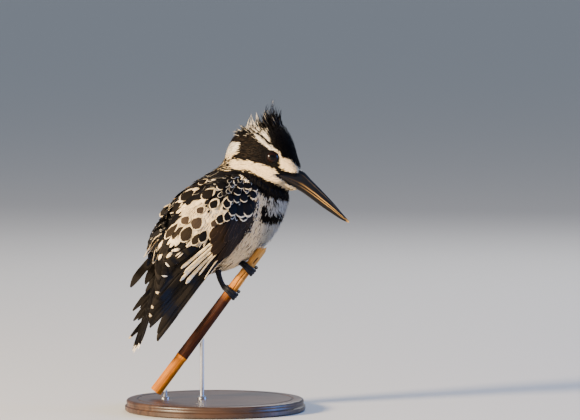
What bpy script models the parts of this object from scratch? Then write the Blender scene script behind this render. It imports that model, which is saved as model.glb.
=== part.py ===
"""A life-size still model of a pied kingfisher that grips a cut reed, on a plain display stand.

+Z is up. The bird looks towards +X, and the origin is the middle of the stand's underside.
Sizes and places are in millimetres up to the moment a mesh is made, where MM turns them into metres.
The bird stands in its own upright plane: s runs forwards, z runs up and y runs to its left. place() then
turns that plane about the upright line through the neck, so that the trunk faces a little way
round from the head.
"""

import math

import bmesh
import bpy
from mathutils import Matrix, Vector
from mathutils.bvhtree import BVHTree

MM = 0.001
GAP = 0.3  # clear space between two solids that meet

# The body, from the root of the tail to the root of the bill. Each station is a cross-section: its
# lowest point (s, z), its highest point (s, z), its half width, and how far its plane is turned.
TRUNK_TURN = 15.0
HEAD_TURN = -3.0
NECK_AXIS = Vector((22.0, 0.0, 0.0))
# The last figure draws in the lower half of the section: 1 is an oval, more is narrower.
BODY_STATIONS = (
    ((-55, 120), (-69, 135), 7, TRUNK_TURN, 1.0),  # root of the tail
    ((-40, 116), (-68.5, 147), 13, TRUNK_TURN, 1.0),  # vent and rump
    ((-16, 115), (-60, 163), 20, TRUNK_TURN, 1.0),
    ((7, 121), (-47, 179.5), 24.5, TRUNK_TURN, 1.0),  # belly and back
    ((25, 133.5), (-32, 192), 26, TRUNK_TURN, 1.0),
    ((38.5, 151), (-20, 200), 26, TRUNK_TURN, 1.0),  # breast and shoulders
    ((46.5, 168), (-11, 205.5), 24.5, TRUNK_TURN, 1.0),
    ((49.5, 180), (-6, 211), 21, 10.0, 1.0),  # neck
    ((51, 186.5), (-3, 221), 18, 2.0, 1.0),
    ((51, 189), (6, 236), 16.5, HEAD_TURN, 1.1),  # nape
    ((50, 189.5), (20, 246), 16.5, HEAD_TURN, 1.25),  # crown
    ((51, 189.5), (36, 245), 15.6, HEAD_TURN, 1.5),  # eyes
    ((53, 189), (48.5, 232), 12.6, HEAD_TURN, 1.75),
    ((56, 187.5), (56, 216), 9.2, HEAD_TURN, 1.6),  # forehead and chin
    ((58.5, 186.5), (60.5, 203.5), 6.2, HEAD_TURN, 1.2),
)
RING_POINTS = 20
RINGS_PER_STATION = 2
NECK_CUT = ((50, 171), (-12, 205))  # lowest and highest point of the cut between trunk and neck
HEAD_CUT = ((53, 185), (-4, 218))
CROWN_CUT = ((-2, 232), (54, 240))  # back and front of the cut under the crest
RUMP_CUT = ((-55, 120), (-69, 135))

# The bill, by upright sections: s, top, mouth line, bottom, half width.
BILL_STATIONS = (
    (41, 202.5, 199, 196, 9.4),
    (50, 205, 195.3, 190.2, 8.5),
    (60, 202.8, 190, 185, 6.6),
    (69, 194.4, 184.3, 178.2, 5.4),
    (78, 185.8, 177.6, 171.6, 4.3),
    (87, 176, 170.3, 165.5, 3.1),
    (94, 167.1, 164.2, 161.2, 1.9),
    (99.5, 160.4, 159.4, 158.4, 0.6),
)
BILL_POINTS = 12

EYE_RADIUS = 5.6
EYE_CENTRE = (35.0, 212.6)
EYE_STANDS_OUT = 1.3  # how far the eyeball comes past the feathers

# Tapered plumes of the raised crest: root (s, z), tip (s, z), offset to one side.
CREST_PLUMES = (
    ((6, 233), (3.5, 239), 4),
    ((13, 239), (9.5, 244), -5),
    ((20, 242), (17, 249), 5),
    ((25, 243), (24.5, 253.5), -4),
    ((30, 243), (30.5, 257), 3),
    ((35, 243), (36, 262), 0),
    ((38, 242), (41.5, 258), -3),
    ((43, 239), (46, 250), 3),
)
PLUME_RADIUS = 2.6

# The wings, folded. Roots and tips of the quills are (s, z), from the outermost quill in.
WRIST = (12, 178)
ARM_LIFT = {"right": 0.0, "left": 3.0}  # how far the feathered arm is swung up about the wrist
PRIMARY_ROOTS = {"right": ((-8, 128), (-20, 150)), "left": ((-12, 127), (-23, 149))}
PRIMARY_TIPS = {
    "right": ((-63, 65), (-67.4, 59), (-69.5, 62), (-71.5, 66), (-73, 71), (-74, 76.5), (-75, 82), (-76, 88)),
    "left": ((-81, 67), (-85.5, 60.5), (-85, 67), (-82.5, 75.5), (-83, 80), (-83.3, 85), (-82, 91), (-81, 97)),
}
SECONDARY_ROOTS = {"right": ((-20, 139), (-46, 160)), "left": ((-24, 139), (-49, 160))}
SECONDARY_TIPS = {
    "right": ((-66, 88), (-71, 93), (-74, 99), (-75, 105), (-75.5, 111), (-75, 117), (-74, 123), (-72, 130)),
    "left": ((-77, 93), (-80, 98), (-83.8, 103), (-80, 108), (-73, 114), (-69, 121), (-69.5, 128), (-70.5, 135)),
}
# The feathered arm, as an outline that starts at the shoulder and goes round by the wrist.
COVERT_OUTLINE = (
    (4, 200), (12, 192), (16, 180), (14, 165), (6, 148), (-6, 131), (-17, 124),
    (-26, 130), (-36, 131), (-48, 126), (-58, 122), (-66, 128), (-64, 145), (-55, 160), (-38, 180), (-16, 197),
)
ARM_THICKNESS = 3.2
WING_PLANE_HEIGHT = 11.5  # how far a folded wing stays from the middle plane, at WING_PLANE_LEVEL
WING_PLANE_LEVEL = 80.0
WING_PLANE_LEAN = 0.05
QUILL_THICKNESS = 0.8
QUILL_DOME = 0.35
TIP_NOTCH = 4.5  # how deep the hem dips between two tips
LAYER_CLEARANCE = 0.7

# The tail, a shut fan. Its root lies inside the trunk until it is cut off.
TAIL_ROOT = (-56, 133)
TAIL_TIP = (-84.5, 49.5)
TAIL_QUILLS = 12
TAIL_ROOT_HALF_WIDTH = 4.5
TAIL_TIP_HALF_WIDTH = 13.0
TAIL_OUTER_SHORTER = 8.0
TAIL_SAG = 1.0  # how far the outer quills lie below the middle ones
TAIL_ROOT_THICKNESS = 7.0

# The reed is a broken stem. Distances along it are measured down from the broken top.
REED_TOP = Vector((27.8, -11.5, 136.4))
REED_FOOT = Vector((-62.2, -13.0, 15.6))
REED_TOP_RADIUS = 3.6
REED_FOOT_RADIUS = 5.8
REED_SIDES = 16
REED_JOINTS = (113.0,)  # a ring that stands a little proud

# Feet: how far down the reed each one grips, and where its leg goes into the belly.
FEET = {
    "right": (43.0, Vector((-14.0, -14.0, 123.0))),
    "left": (18.0, Vector((5.0, -1.0, 128.0))),
}
LEG_RADIUS = 1.9
TOE_RADIUS = 1.35
# Each toe: how far along the reed it starts and ends from the grip, and the angle it wraps.
TOES = ((-2.2, -4.4, 175), (-0.4, -0.9, 205), (1.6, 2.6, 185), (0.2, -2.0, -150))
CLAW_LENGTH = 5.0

# The stand.
STAND_CENTRE = Vector((-12.6, -9.0, 0.0))
BASE_RADIUS = 76.0
BASE_HEIGHT = 10.0
BASE_CHAMFER = 1.5
ROD_RADIUS = 1.8
ROD_REACHES = (138.0, 86.0)  # where each rod meets the reed, measured down from its broken top


def clear_scene():
    for old in list(bpy.data.objects):
        bpy.data.objects.remove(old)


def collection(name):
    made = bpy.data.collections.new(name)
    bpy.context.scene.collection.children.link(made)
    return made


def material(name, colour, roughness, metallic=0.0):
    made = bpy.data.materials.new(name)
    made.use_nodes = True
    shader = made.node_tree.nodes["Principled BSDF"]
    shader.inputs["Base Color"].default_value = (*colour, 1.0)
    shader.inputs["Roughness"].default_value = roughness
    shader.inputs["Metallic"].default_value = metallic
    return made


def add(name, mesh, group, finish=None):
    made = bpy.data.objects.new(name, mesh)
    group.objects.link(made)
    if finish:
        made.data.materials.clear()
        made.data.materials.append(finish)
    return made


def mesh_from(bm, name):
    """A mesh in metres from a bmesh in millimetres, with its faces pointing out."""
    bmesh.ops.recalc_face_normals(bm, faces=bm.faces)
    bmesh.ops.translate(bm, vec=-STAND_CENTRE, verts=bm.verts)
    bmesh.ops.scale(bm, vec=(MM, MM, MM), verts=bm.verts)
    mesh = bpy.data.meshes.new(name)
    bm.to_mesh(mesh)
    bm.free()
    mesh.shade_smooth()
    mesh.set_sharp_from_angle(angle=math.radians(40))
    return mesh


def curved(values, at):
    """A smooth curve through values, each a tuple of numbers, read at a place from 0 to len - 1."""
    last = len(values) - 1
    i = min(int(at), last - 1)
    t = at - i
    before, a, b, after = (values[max(0, min(last, i + k))] for k in (-1, 0, 1, 2))
    return tuple(
        0.5 * (2 * q + (r - p) * t + (2 * p - 5 * q + 4 * r - u) * t**2 + (3 * q - p - 3 * r + u) * t**3)
        for p, q, r, u in zip(before, a, b, after)
    )


def place(point, turn):
    """A point (s, y, z) of the bird's upright plane, turned about the neck."""
    return NECK_AXIS + Matrix.Rotation(math.radians(turn), 3, "Z") @ (Vector(point) - NECK_AXIS)


def loft(rings, closed_ends=True):
    """A closed skin over rings of points, each with the same count."""
    bm = bmesh.new()
    rows = [[bm.verts.new(p) for p in ring] for ring in rings]
    for low, high in zip(rows, rows[1:]):
        for i in range(len(low)):
            j = (i + 1) % len(low)
            bm.faces.new((low[i], low[j], high[j], high[i]))
    if closed_ends:
        bm.faces.new(rows[0])
        bm.faces.new(rows[-1])
    bmesh.ops.recalc_face_normals(bm, faces=bm.faces)
    return bm


def body_rings(turned):
    """Oval cross-sections along the whole body. Unturned, they lie in the bird's own upright plane."""
    flat = [(*low, *high, *rest) for low, high, *rest in BODY_STATIONS]
    rings = []
    for k in range((len(flat) - 1) * RINGS_PER_STATION + 1):
        low_s, low_z, high_s, high_z, width, turn, narrow = curved(flat, k / RINGS_PER_STATION)
        low, high = Vector((low_s, 0, low_z)), Vector((high_s, 0, high_z))
        middle, reach = (low + high) / 2, (high - low) / 2
        ring = []
        for i in range(RING_POINTS):
            angle = 2 * math.pi * i / RING_POINTS
            aside = math.sin(angle)
            if math.cos(angle) < 0:
                aside = math.copysign(abs(aside) ** narrow, aside)
            point = middle + reach * math.cos(angle) + Vector((0, width * aside, 0))
            ring.append(place(point, turn) if turned else point)
        rings.append(ring)
    return rings


def cut_plane(cut, turn):
    """A point on the upright cut through two (s, z) points, and its normal towards the bill."""
    low, high = (place((s, 0, z), turn) for s, z in cut)
    sideways = Matrix.Rotation(math.radians(turn), 3, "Z") @ Vector((0, 1, 0))
    return low, (low - high).cross(sideways).normalized()


def keep_side(bm, plane, side):
    """Cuts a closed bmesh and keeps the side of the plane that side (1 or -1) names, half a gap clear."""
    point, normal = plane
    bmesh.ops.bisect_plane(
        bm,
        geom=bm.verts[:] + bm.edges[:] + bm.faces[:],
        plane_co=point + normal * side * GAP / 2,
        plane_no=normal,
        clear_outer=side < 0,
        clear_inner=side > 0,
    )
    bmesh.ops.holes_fill(bm, edges=[e for e in bm.edges if e.is_boundary], sides=0)
    return bm


def tube(points, radii, sides=8, grow=0.0):
    """A round tube through points, with a radius at each. grow makes it that much larger all over."""
    points, radii = list(points), [r + grow for r in radii]
    points[0] = points[0] + (points[0] - points[1]).normalized() * grow
    points[-1] = points[-1] + (points[-1] - points[-2]).normalized() * grow
    rings = []
    up = Vector((0, 1, 0))
    for i, point in enumerate(points):
        ahead = (points[min(i + 1, len(points) - 1)] - points[max(i - 1, 0)]).normalized()
        side = ahead.cross(up).normalized()
        other = ahead.cross(side).normalized()
        rings.append(
            [
                point + (side * math.cos(a) + other * math.sin(a)) * radii[i]
                for a in (2 * math.pi * k / sides for k in range(sides))
            ]
        )
        up = side.cross(ahead)
    return loft(rings)


def boolean(target, operation, tools):
    """Applies Booleans of a few meshes to target, at once, and returns it."""
    for tool in tools:
        step = target.modifiers.new(operation.lower(), "BOOLEAN")
        step.operation = operation
        step.solver = "EXACT"
        step.object = tool
    graph = bpy.context.evaluated_depsgraph_get()
    mesh = bpy.data.meshes.new_from_object(target.evaluated_get(graph))
    target.modifiers.clear()
    target.data = mesh
    return target


def cutter(name, bm):
    made = add(name, mesh_from(bm, name), CUTTERS)
    made.hide_render = True
    made.display_type = "WIRE"
    return made


def joined(name, pieces, finish):
    """One solid from several closed bmeshes that overlap."""
    first, *rest = pieces
    whole = add(name, mesh_from(first, name), BIRD, finish)
    tools = [cutter(f"{name}_with_{i}", bm) for i, bm in enumerate(rest)]
    boolean(whole, "UNION", tools)
    for tool in tools:
        bpy.data.objects.remove(tool)
    whole.data.materials.clear()
    whole.data.materials.append(finish)
    return whole


def carve(name, bms):
    """Takes the space of a few closed bmeshes out of a named solid."""
    tools = [cutter(f"{name}_less_{i}", bm) for i, bm in enumerate(bms)]
    boolean(bpy.data.objects[name], "DIFFERENCE", tools)
    for tool in tools:
        bpy.data.objects.remove(tool)


def reed_point(down):
    """A point on the reed's axis, this far down from the broken top."""
    return REED_TOP + (REED_FOOT - REED_TOP).normalized() * down


def reed_radius(down):
    share = down / (REED_FOOT - REED_TOP).length
    return REED_TOP_RADIUS + (REED_FOOT_RADIUS - REED_TOP_RADIUS) * share


def around_reed(down, angle, clear):
    """A point this far clear of the reed: angle 0 is its upper side and 90 degrees faces -Y."""
    along = (REED_FOOT - REED_TOP).normalized()
    front = Vector((0, -1, 0))
    front = (front - along * front.dot(along)).normalized()
    upper = front.cross(along)
    upper = upper if upper.z > 0 else -upper
    angle = math.radians(angle)
    return reed_point(down) + (upper * math.cos(angle) + front * math.sin(angle)) * (reed_radius(down) + clear)


def reed_tube(extra):
    """The reed's space and a little more, to cut other solids clear of it."""
    ends = (-extra - 4, (REED_FOOT - REED_TOP).length + extra)
    return tube([reed_point(d) for d in ends], [reed_radius(d) + extra for d in ends], REED_SIDES)


def build_body():
    """Head, neck, trunk and crest: one body, parted by thin cuts."""
    head_plane = cut_plane(HEAD_CUT, 2.0)
    neck_plane = cut_plane(NECK_CUT, TRUNK_TURN)
    crown_plane = cut_plane(CROWN_CUT, HEAD_TURN)
    rings = body_rings(turned=True)

    add("trunk", mesh_from(keep_side(loft(rings), neck_plane, -1), "trunk"), BIRD, FEATHERS)
    neck = keep_side(keep_side(loft(rings), neck_plane, 1), head_plane, -1)
    add("neck", mesh_from(neck, "neck"), BIRD, WHITE)
    head = keep_side(keep_side(loft(rings), head_plane, 1), crown_plane, 1)
    add("head", mesh_from(head, "head"), BIRD, FEATHERS)

    crown = keep_side(keep_side(loft(rings), head_plane, 1), crown_plane, -1)
    plumes = []
    for (root_s, root_z), (tip_s, tip_z), aside in CREST_PLUMES:
        root = place((root_s, aside, root_z), HEAD_TURN)
        tip = place((tip_s, aside * 1.3, tip_z), HEAD_TURN)
        bend = (root + tip) / 2 + Vector((1.0, 0, 0))
        plume = tube([root, bend, tip], [PLUME_RADIUS, PLUME_RADIUS * 0.6, 0.35], 6)
        plumes.append(keep_side(plume, crown_plane, -1))
    joined("crest", [crown, *plumes], FEATHERS)


def bill_half(upper, grow):
    """One mandible as a closed bmesh: flat along the mouth line and keeled along its other edge."""
    rings = []
    for k, (s, top, mouth, bottom, half_width) in enumerate(BILL_STATIONS):
        s = s if k else s - grow
        edge = top + grow if upper else bottom - grow
        flat = mouth + (GAP / 2 - grow) * (1 if upper else -1)
        ring = []
        for i in range(BILL_POINTS):
            angle = math.pi * i / (BILL_POINTS - 1)
            aside = (half_width + grow) * math.copysign(abs(math.cos(angle)) ** 0.9, math.cos(angle))
            ring.append(place((s, aside, flat + (edge - flat) * math.sin(angle) ** 1.15), HEAD_TURN))
        rings.append(ring)
    return loft(rings)


def build_bill():
    add("bill_upper", mesh_from(bill_half(True, 0.0), "bill_upper"), BIRD, HORN)
    add("bill_lower", mesh_from(bill_half(False, 0.0), "bill_lower"), BIRD, HORN)
    carve("head", [bill_half(True, GAP), bill_half(False, GAP)])


def ball(centre, radius, turns, rows):
    bm = bmesh.new()
    made = bmesh.ops.create_uvsphere(bm, u_segments=turns, v_segments=rows, radius=radius)
    bmesh.ops.rotate(bm, cent=(0, 0, 0), matrix=Matrix.Rotation(math.pi / 2, 3, "X"), verts=made["verts"])
    bmesh.ops.translate(bm, vec=centre, verts=made["verts"])
    return bm


def build_eyes(body):
    for name, side in (("eye_right", -1), ("eye_left", 1)):
        out = side_height(body, side, *EYE_CENTRE)
        centre = Vector((EYE_CENTRE[0], side * (out + EYE_STANDS_OUT - EYE_RADIUS), EYE_CENTRE[1]))
        centre = place(centre, HEAD_TURN)
        add(name, mesh_from(ball(centre, EYE_RADIUS, 14, 8), name), BIRD, EYE)
        carve("head", [ball(centre, EYE_RADIUS + GAP * 2, 14, 8)])


def side_height(body, side, s, z):
    """How far the untwisted body reaches to one side of the middle plane at (s, z)."""
    hit = body.ray_cast(Vector((s, side * 100, z)), Vector((0, -side, 0)))[0]
    return abs(hit.y) if hit else 0.0


def wing_height(body, side, s, z):
    """How far out the inner face of a folded wing lies: clear of the body, or on the wing's own plane."""
    flesh = side_height(body, side, s, z)
    plane = WING_PLANE_HEIGHT - WING_PLANE_LEAN * (z - WING_PLANE_LEVEL)
    return 0.5 * (flesh + plane + math.hypot(flesh - plane, 8.0))


def swung(point, degrees):
    """A wing point (s, z) swung up and back about the wrist."""
    turn = math.radians(degrees)
    s, z = point[0] - WRIST[0], point[1] - WRIST[1]
    return (
        WRIST[0] + s * math.cos(turn) + z * math.sin(turn),
        WRIST[1] + z * math.cos(turn) - s * math.sin(turn),
    )


def sheet(inner, outer):
    """A closed solid between two grids of points of the same shape."""
    bm = bmesh.new()
    low, high = ([[bm.verts.new(p) for p in row] for row in grid] for grid in (inner, outer))
    rows, columns = len(low), len(low[0])
    for r in range(rows - 1):
        for c in range(columns - 1):
            for grid in (low, high):
                bm.faces.new((grid[r][c], grid[r][c + 1], grid[r + 1][c + 1], grid[r + 1][c]))
    rim = [(r, 0) for r in range(rows)] + [(rows - 1, c) for c in range(1, columns)]
    rim += [(r, columns - 1) for r in range(rows - 2, -1, -1)] + [(0, c) for c in range(columns - 2, 0, -1)]
    for (r, c), (next_r, next_c) in zip(rim, rim[1:] + rim[:1]):
        bm.faces.new((low[r][c], low[next_r][next_c], high[next_r][next_c], high[r][c]))
    return bm


def quill_lines(count, roots, tips, rows):
    """Rows of (s, z, dome) over a fan of quills, dipped between their tips."""
    lines = []
    for step in range(2 * count + 1):
        u = step / 2
        root = curved(roots, u / count * (len(roots) - 1))
        tip = curved(tips, min(max(u - 0.5, 0), count - 1))
        length = math.dist(root, tip)
        on_shaft = step % 2 == 1
        reach = 1.0 if on_shaft else 1 - TIP_NOTCH / length
        lines.append([(*(a + (b - a) * t * reach for a, b in zip(root, tip)), on_shaft) for t in rows])
    return [list(row) for row in zip(*lines)]


def build_flight(body, name, side, roots, tips, offset):
    rows = quill_lines(len(tips), roots, tips, (0, 0.1, 0.2, 0.3, 0.4, 0.52, 0.68, 0.86, 1.0))
    inner, outer = [], []
    for row in rows:
        heights = [wing_height(body, side, s, z) + offset for s, z, _ in row]
        inner.append([place((s, side * h, z), TRUNK_TURN) for (s, z, _), h in zip(row, heights)])
        outer.append([
            place((s, side * (h + QUILL_THICKNESS + QUILL_DOME * on_shaft), z), TRUNK_TURN)
            for (s, z, on_shaft), h in zip(row, heights)
        ])
    add(name, mesh_from(sheet(inner, outer), name), BIRD, FEATHERS)


def build_coverts(body, name, side, lift, offset):
    """The feathered arm: a thick leaf that lies on the body in front and on the quills behind."""
    outline = [curved(COVERT_OUTLINE + COVERT_OUTLINE[:1], k / 2) for k in range(2 * len(COVERT_OUTLINE))]
    middle = tuple(sum(v) / len(outline) for v in zip(*outline))
    bm = bmesh.new()
    skins = []
    for outer in (False, True):
        rings = []
        for share in (1.0, 0.86, 0.6, 0.3):
            ring = []
            for point in outline:
                s, z = (m + (p - m) * share for m, p in zip(middle, point))
                over_quills = min(max((2.0 - s) / 13.0, 0), 1)
                rise = LAYER_CLEARANCE + (offset - LAYER_CLEARANCE) * over_quills**2 * (3 - 2 * over_quills)
                s, z = swung((s, z), lift)
                height = wing_height(body, side, s, z) + rise
                if outer:
                    height += QUILL_THICKNESS + (ARM_THICKNESS - QUILL_THICKNESS) * (1 - share**3)
                ring.append(bm.verts.new(place((s, side * height, z), TRUNK_TURN)))
            rings.append(ring)
        for wide, small in zip(rings, rings[1:]):
            for i in range(len(wide)):
                j = (i + 1) % len(wide)
                bm.faces.new((wide[i], wide[j], small[j], small[i]))
        bm.faces.new(rings[-1])
        skins.append(rings[0])
    for i in range(len(outline)):
        j = (i + 1) % len(outline)
        bm.faces.new((skins[0][i], skins[0][j], skins[1][j], skins[1][i]))
    add(name, mesh_from(bm, name), BIRD, FEATHERS)


def build_wings(body):
    layer = (QUILL_THICKNESS + QUILL_DOME + LAYER_CLEARANCE) * 1.25
    for word, side in (("right", -1), ("left", 1)):
        for k, (kind, roots, tips) in enumerate((
            ("primaries", PRIMARY_ROOTS[word], PRIMARY_TIPS[word]),
            ("secondaries", SECONDARY_ROOTS[word], SECONDARY_TIPS[word]),
        )):
            build_flight(body, f"wing_{word}_{kind}", side, roots, tips, LAYER_CLEARANCE + layer * k)
        over = 2 * (LAYER_CLEARANCE + layer)
        build_coverts(body, f"wing_{word}_coverts", side, ARM_LIFT[word], over)


def build_tail():
    root, tip = Vector((TAIL_ROOT[0], 0, TAIL_ROOT[1])), Vector((TAIL_TIP[0], 0, TAIL_TIP[1]))
    along = (tip - root).normalized()
    below = Vector((0, 1, 0)).cross(along)
    below = below if below.x > 0 else -below
    length = (tip - root).length
    inner, outer = [], []
    for t in (0, 0.3, 0.55, 0.8, 0.96, 1.0):
        rows = [], []
        for step in range(2 * TAIL_QUILLS + 1):
            v = step / TAIL_QUILLS - 1
            on_shaft = step % 2 == 1
            reach = length - TAIL_OUTER_SHORTER * abs(v) ** 2.5 - (0 if on_shaft else TIP_NOTCH * 0.6)
            aside = v * (TAIL_ROOT_HALF_WIDTH + (TAIL_TIP_HALF_WIDTH - TAIL_ROOT_HALF_WIDTH) * t)
            middle = root + along * reach * t + below * TAIL_SAG * v * v * t
            thick = QUILL_THICKNESS + (TAIL_ROOT_THICKNESS - QUILL_THICKNESS) * (1 - t) ** 2 * (1 - 0.6 * v * v)
            for row, up in zip(rows, (-0.5, 0.5 + QUILL_DOME * on_shaft)):
                row.append(place(middle + Vector((0, aside, 0)) - below * thick * up, TRUNK_TURN))
        inner.append(rows[0])
        outer.append(rows[1])
    plane, normal = cut_plane(RUMP_CUT, TRUNK_TURN)
    tail = keep_side(sheet(inner, outer), (plane - normal * GAP / 2, normal), -1)
    add("tail", mesh_from(tail, "tail"), BIRD, FEATHERS)


def build_reed():
    """A stem with a ragged top, slightly proud at its joint."""
    length = (REED_FOOT - REED_TOP).length
    spots = [(0, 0), (6, 0), (40, 0), (80, 0), (length, 0)]
    for joint in REED_JOINTS:
        spots += [(joint - 2, 0), (joint, 0.35), (joint + 2, 0)]
    rings = []
    for down, proud in sorted(spots):
        ring = []
        for i in range(REED_SIDES):
            ragged = 2.2 * math.sin(i * 2.4) + 1.2 * math.sin(i * 5.3) if down == 0 else 0
            place_down = down + ragged
            ring.append(around_reed(place_down, 360 * i / REED_SIDES, proud))
        rings.append(ring)
    bm = loft(rings, closed_ends=False)
    bm.verts.ensure_lookup_table()
    for ring, down in ((rings[0], 3.0), (rings[-1], length)):
        rim = [min(bm.verts, key=lambda v: (v.co - p).length) for p in ring]
        middle = bm.verts.new(reed_point(down))
        for a, b in zip(rim, rim[1:] + rim[:1]):
            bm.faces.new((a, b, middle))
    add("perch_reed", mesh_from(bm, "perch_reed"), BIRD, REED)


def leg_path(grip, hip):
    """From the grip, up the slender shank to the belly."""
    ankle = around_reed(grip, 0, TOE_RADIUS + GAP + 0.4)
    return [ankle, ankle + (hip - ankle) * 0.45, hip]


def foot_tubes(grip, hip, grow):
    """The shank and the four clawed toes of a foot, as closed bmeshes that overlap at the ankle."""
    shank = leg_path(grip, hip)
    pieces = [tube(shank, (TOE_RADIUS + 0.5, LEG_RADIUS, LEG_RADIUS + 0.3), 8, grow)]
    for start, end, wrap in TOES:
        clear = TOE_RADIUS + GAP
        steps = 6
        path = [
            around_reed(grip + start + (end - start) * k / steps, wrap * k / steps, clear)
            for k in range(steps + 1)
        ]
        radii = [TOE_RADIUS] * (steps + 1)
        claw_turn = math.copysign(math.degrees(CLAW_LENGTH / reed_radius(grip)), wrap)
        for share in (0.5, 1.0):
            path.append(around_reed(grip + end, wrap + claw_turn * share, clear + share))
            radii.append(TOE_RADIUS * (0.85 - 0.65 * share))
        pieces.append(tube(path, radii, 6, grow))
    return pieces


def build_feet():
    spaces = [reed_tube(0.5)]
    for word, (grip, hip) in FEET.items():
        joined(f"foot_{word}", foot_tubes(grip, hip, 0.0), FOOT)
        spaces += foot_tubes(grip, hip, 0.4)
    carve("trunk", spaces)


def build_stand():
    bm = bmesh.new()
    bmesh.ops.create_cone(
        bm, cap_ends=True, segments=56, radius1=BASE_RADIUS, radius2=BASE_RADIUS, depth=BASE_HEIGHT,
        matrix=Matrix.Translation(STAND_CENTRE + Vector((0, 0, BASE_HEIGHT / 2))),
    )
    top = [e for e in bm.edges if all(v.co.z > BASE_HEIGHT * 0.9 for v in e.verts)]
    bmesh.ops.bevel(bm, geom=top, offset=BASE_CHAMFER, affect="EDGES", segments=2, profile=0.5, material=-1)
    add("stand_base", mesh_from(bm, "stand_base"), BIRD, WOOD)
    for name, reach in zip(("stand_rod_rear", "stand_rod_front"), ROD_REACHES):
        top = reed_point(reach)
        foot = Vector((top.x, top.y, BASE_HEIGHT + GAP))
        add(name, mesh_from(tube([foot, top], [ROD_RADIUS, ROD_RADIUS], 16), name), BIRD, STEEL)
        carve(name, [reed_tube(GAP)])


def main():
    body = BVHTree.FromBMesh(loft(body_rings(turned=False)))
    build_body()
    build_eyes(body)
    build_bill()
    build_wings(body)
    build_tail()
    build_reed()
    build_feet()
    build_stand()


clear_scene()
BIRD = collection("pied_kingfisher")
CUTTERS = collection("cutters")
FEATHERS = material("black_and_white_feathers", (0.05, 0.045, 0.04), 0.7)
WHITE = material("white_feathers", (0.85, 0.8, 0.72), 0.75)
HORN = material("black_horn", (0.02, 0.02, 0.025), 0.3)
EYE = material("dark_eye", (0.02, 0.012, 0.008), 0.08)
FOOT = material("black_scaled_skin", (0.03, 0.03, 0.035), 0.5)
REED = material("dry_reed", (0.42, 0.2, 0.07), 0.6)
WOOD = material("dark_wood", (0.08, 0.045, 0.028), 0.4)
STEEL = material("brushed_steel", (0.6, 0.6, 0.62), 0.3, 1.0)
main()
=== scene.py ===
"""The looks of a life-size pied kingfisher on a cut reed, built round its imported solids.

Lengths are metres, and a name that ends in _mm holds millimetres. The bird has two upright planes of
its own, one for the trunk and one for the head, because it looks a little round to its right.
"""

import math

import bmesh
import bpy
import numpy as np
from mathutils import Matrix, Vector
from mathutils.bvhtree import BVHTree
from mathutils.kdtree import KDTree


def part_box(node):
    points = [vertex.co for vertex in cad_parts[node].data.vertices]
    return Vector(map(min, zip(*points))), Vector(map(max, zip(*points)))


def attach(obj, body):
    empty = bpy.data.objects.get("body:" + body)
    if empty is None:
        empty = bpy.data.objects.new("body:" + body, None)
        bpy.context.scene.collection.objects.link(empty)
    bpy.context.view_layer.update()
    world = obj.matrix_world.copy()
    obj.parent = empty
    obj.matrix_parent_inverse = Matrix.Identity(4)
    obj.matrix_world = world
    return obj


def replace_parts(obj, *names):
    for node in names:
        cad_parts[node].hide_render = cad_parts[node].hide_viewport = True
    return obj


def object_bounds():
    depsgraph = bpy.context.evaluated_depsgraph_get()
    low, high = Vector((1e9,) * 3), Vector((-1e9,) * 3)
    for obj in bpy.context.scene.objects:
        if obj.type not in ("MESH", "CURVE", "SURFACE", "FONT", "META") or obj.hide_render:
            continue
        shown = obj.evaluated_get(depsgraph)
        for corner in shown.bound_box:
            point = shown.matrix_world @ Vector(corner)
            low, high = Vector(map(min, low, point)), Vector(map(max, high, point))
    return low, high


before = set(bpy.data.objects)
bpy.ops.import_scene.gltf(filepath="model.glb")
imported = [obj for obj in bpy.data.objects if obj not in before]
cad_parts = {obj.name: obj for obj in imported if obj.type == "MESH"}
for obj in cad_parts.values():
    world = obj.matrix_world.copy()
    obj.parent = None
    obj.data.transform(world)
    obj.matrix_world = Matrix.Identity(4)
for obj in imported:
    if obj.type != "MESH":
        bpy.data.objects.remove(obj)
cad_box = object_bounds()
rng = np.random.default_rng(20)

# --- The studio -------------------------------------------------------------------------------
# A wide pale floor, a pale surround, and three soft lights: a warm key from the bird's tail side,
# a cool fill from ahead of it and a weak light from behind. The camera stands nearly level with it.

VIEW_WIDTH = 0.4872  # what the camera takes in, at the bird
VIEW_MIDDLE = Vector((0.0630, 0.0, 0.1688))
CAMERA_DISTANCE = 3.5
CAMERA_RISE = math.radians(3.2)
FLOOR_RADIUS = 120.0


def procedural(name, colour=(0.5, 0.5, 0.5), roughness=0.5, metallic=0.0, gloss=0.5):
    """A new Principled material, with its node tree, its shader and a maker of wired nodes."""
    made = bpy.data.materials.new(name)
    made.use_nodes = True
    tree = made.node_tree
    shader = tree.nodes["Principled BSDF"]
    shader.inputs["Base Color"].default_value = (*colour, 1.0)
    shader.inputs["Roughness"].default_value = roughness
    shader.inputs["Metallic"].default_value = metallic
    shader.inputs["Specular IOR Level"].default_value = gloss

    def node(kind, settings=None, **wires):
        """Adds a node. Each wire names an input and gives the value or the output that feeds it."""
        new = tree.nodes.new(kind)
        for key, value in (settings or {}).items():
            setattr(new, key, value)
        for key, value in wires.items():
            socket = new.inputs[int(key[1:])] if key[1:].isdigit() else new.inputs[key.replace("_", " ")]
            if isinstance(value, bpy.types.NodeSocket):
                tree.links.new(value, socket)
            else:
                socket.default_value = value
        return new

    return made, shader, node


def wire(shader, **outputs):
    """Feeds each named input of a shader, with _ for a space in its name."""
    for name, output in outputs.items():
        shader.id_data.links.new(output, shader.inputs[name.replace("_", " ")])


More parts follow.
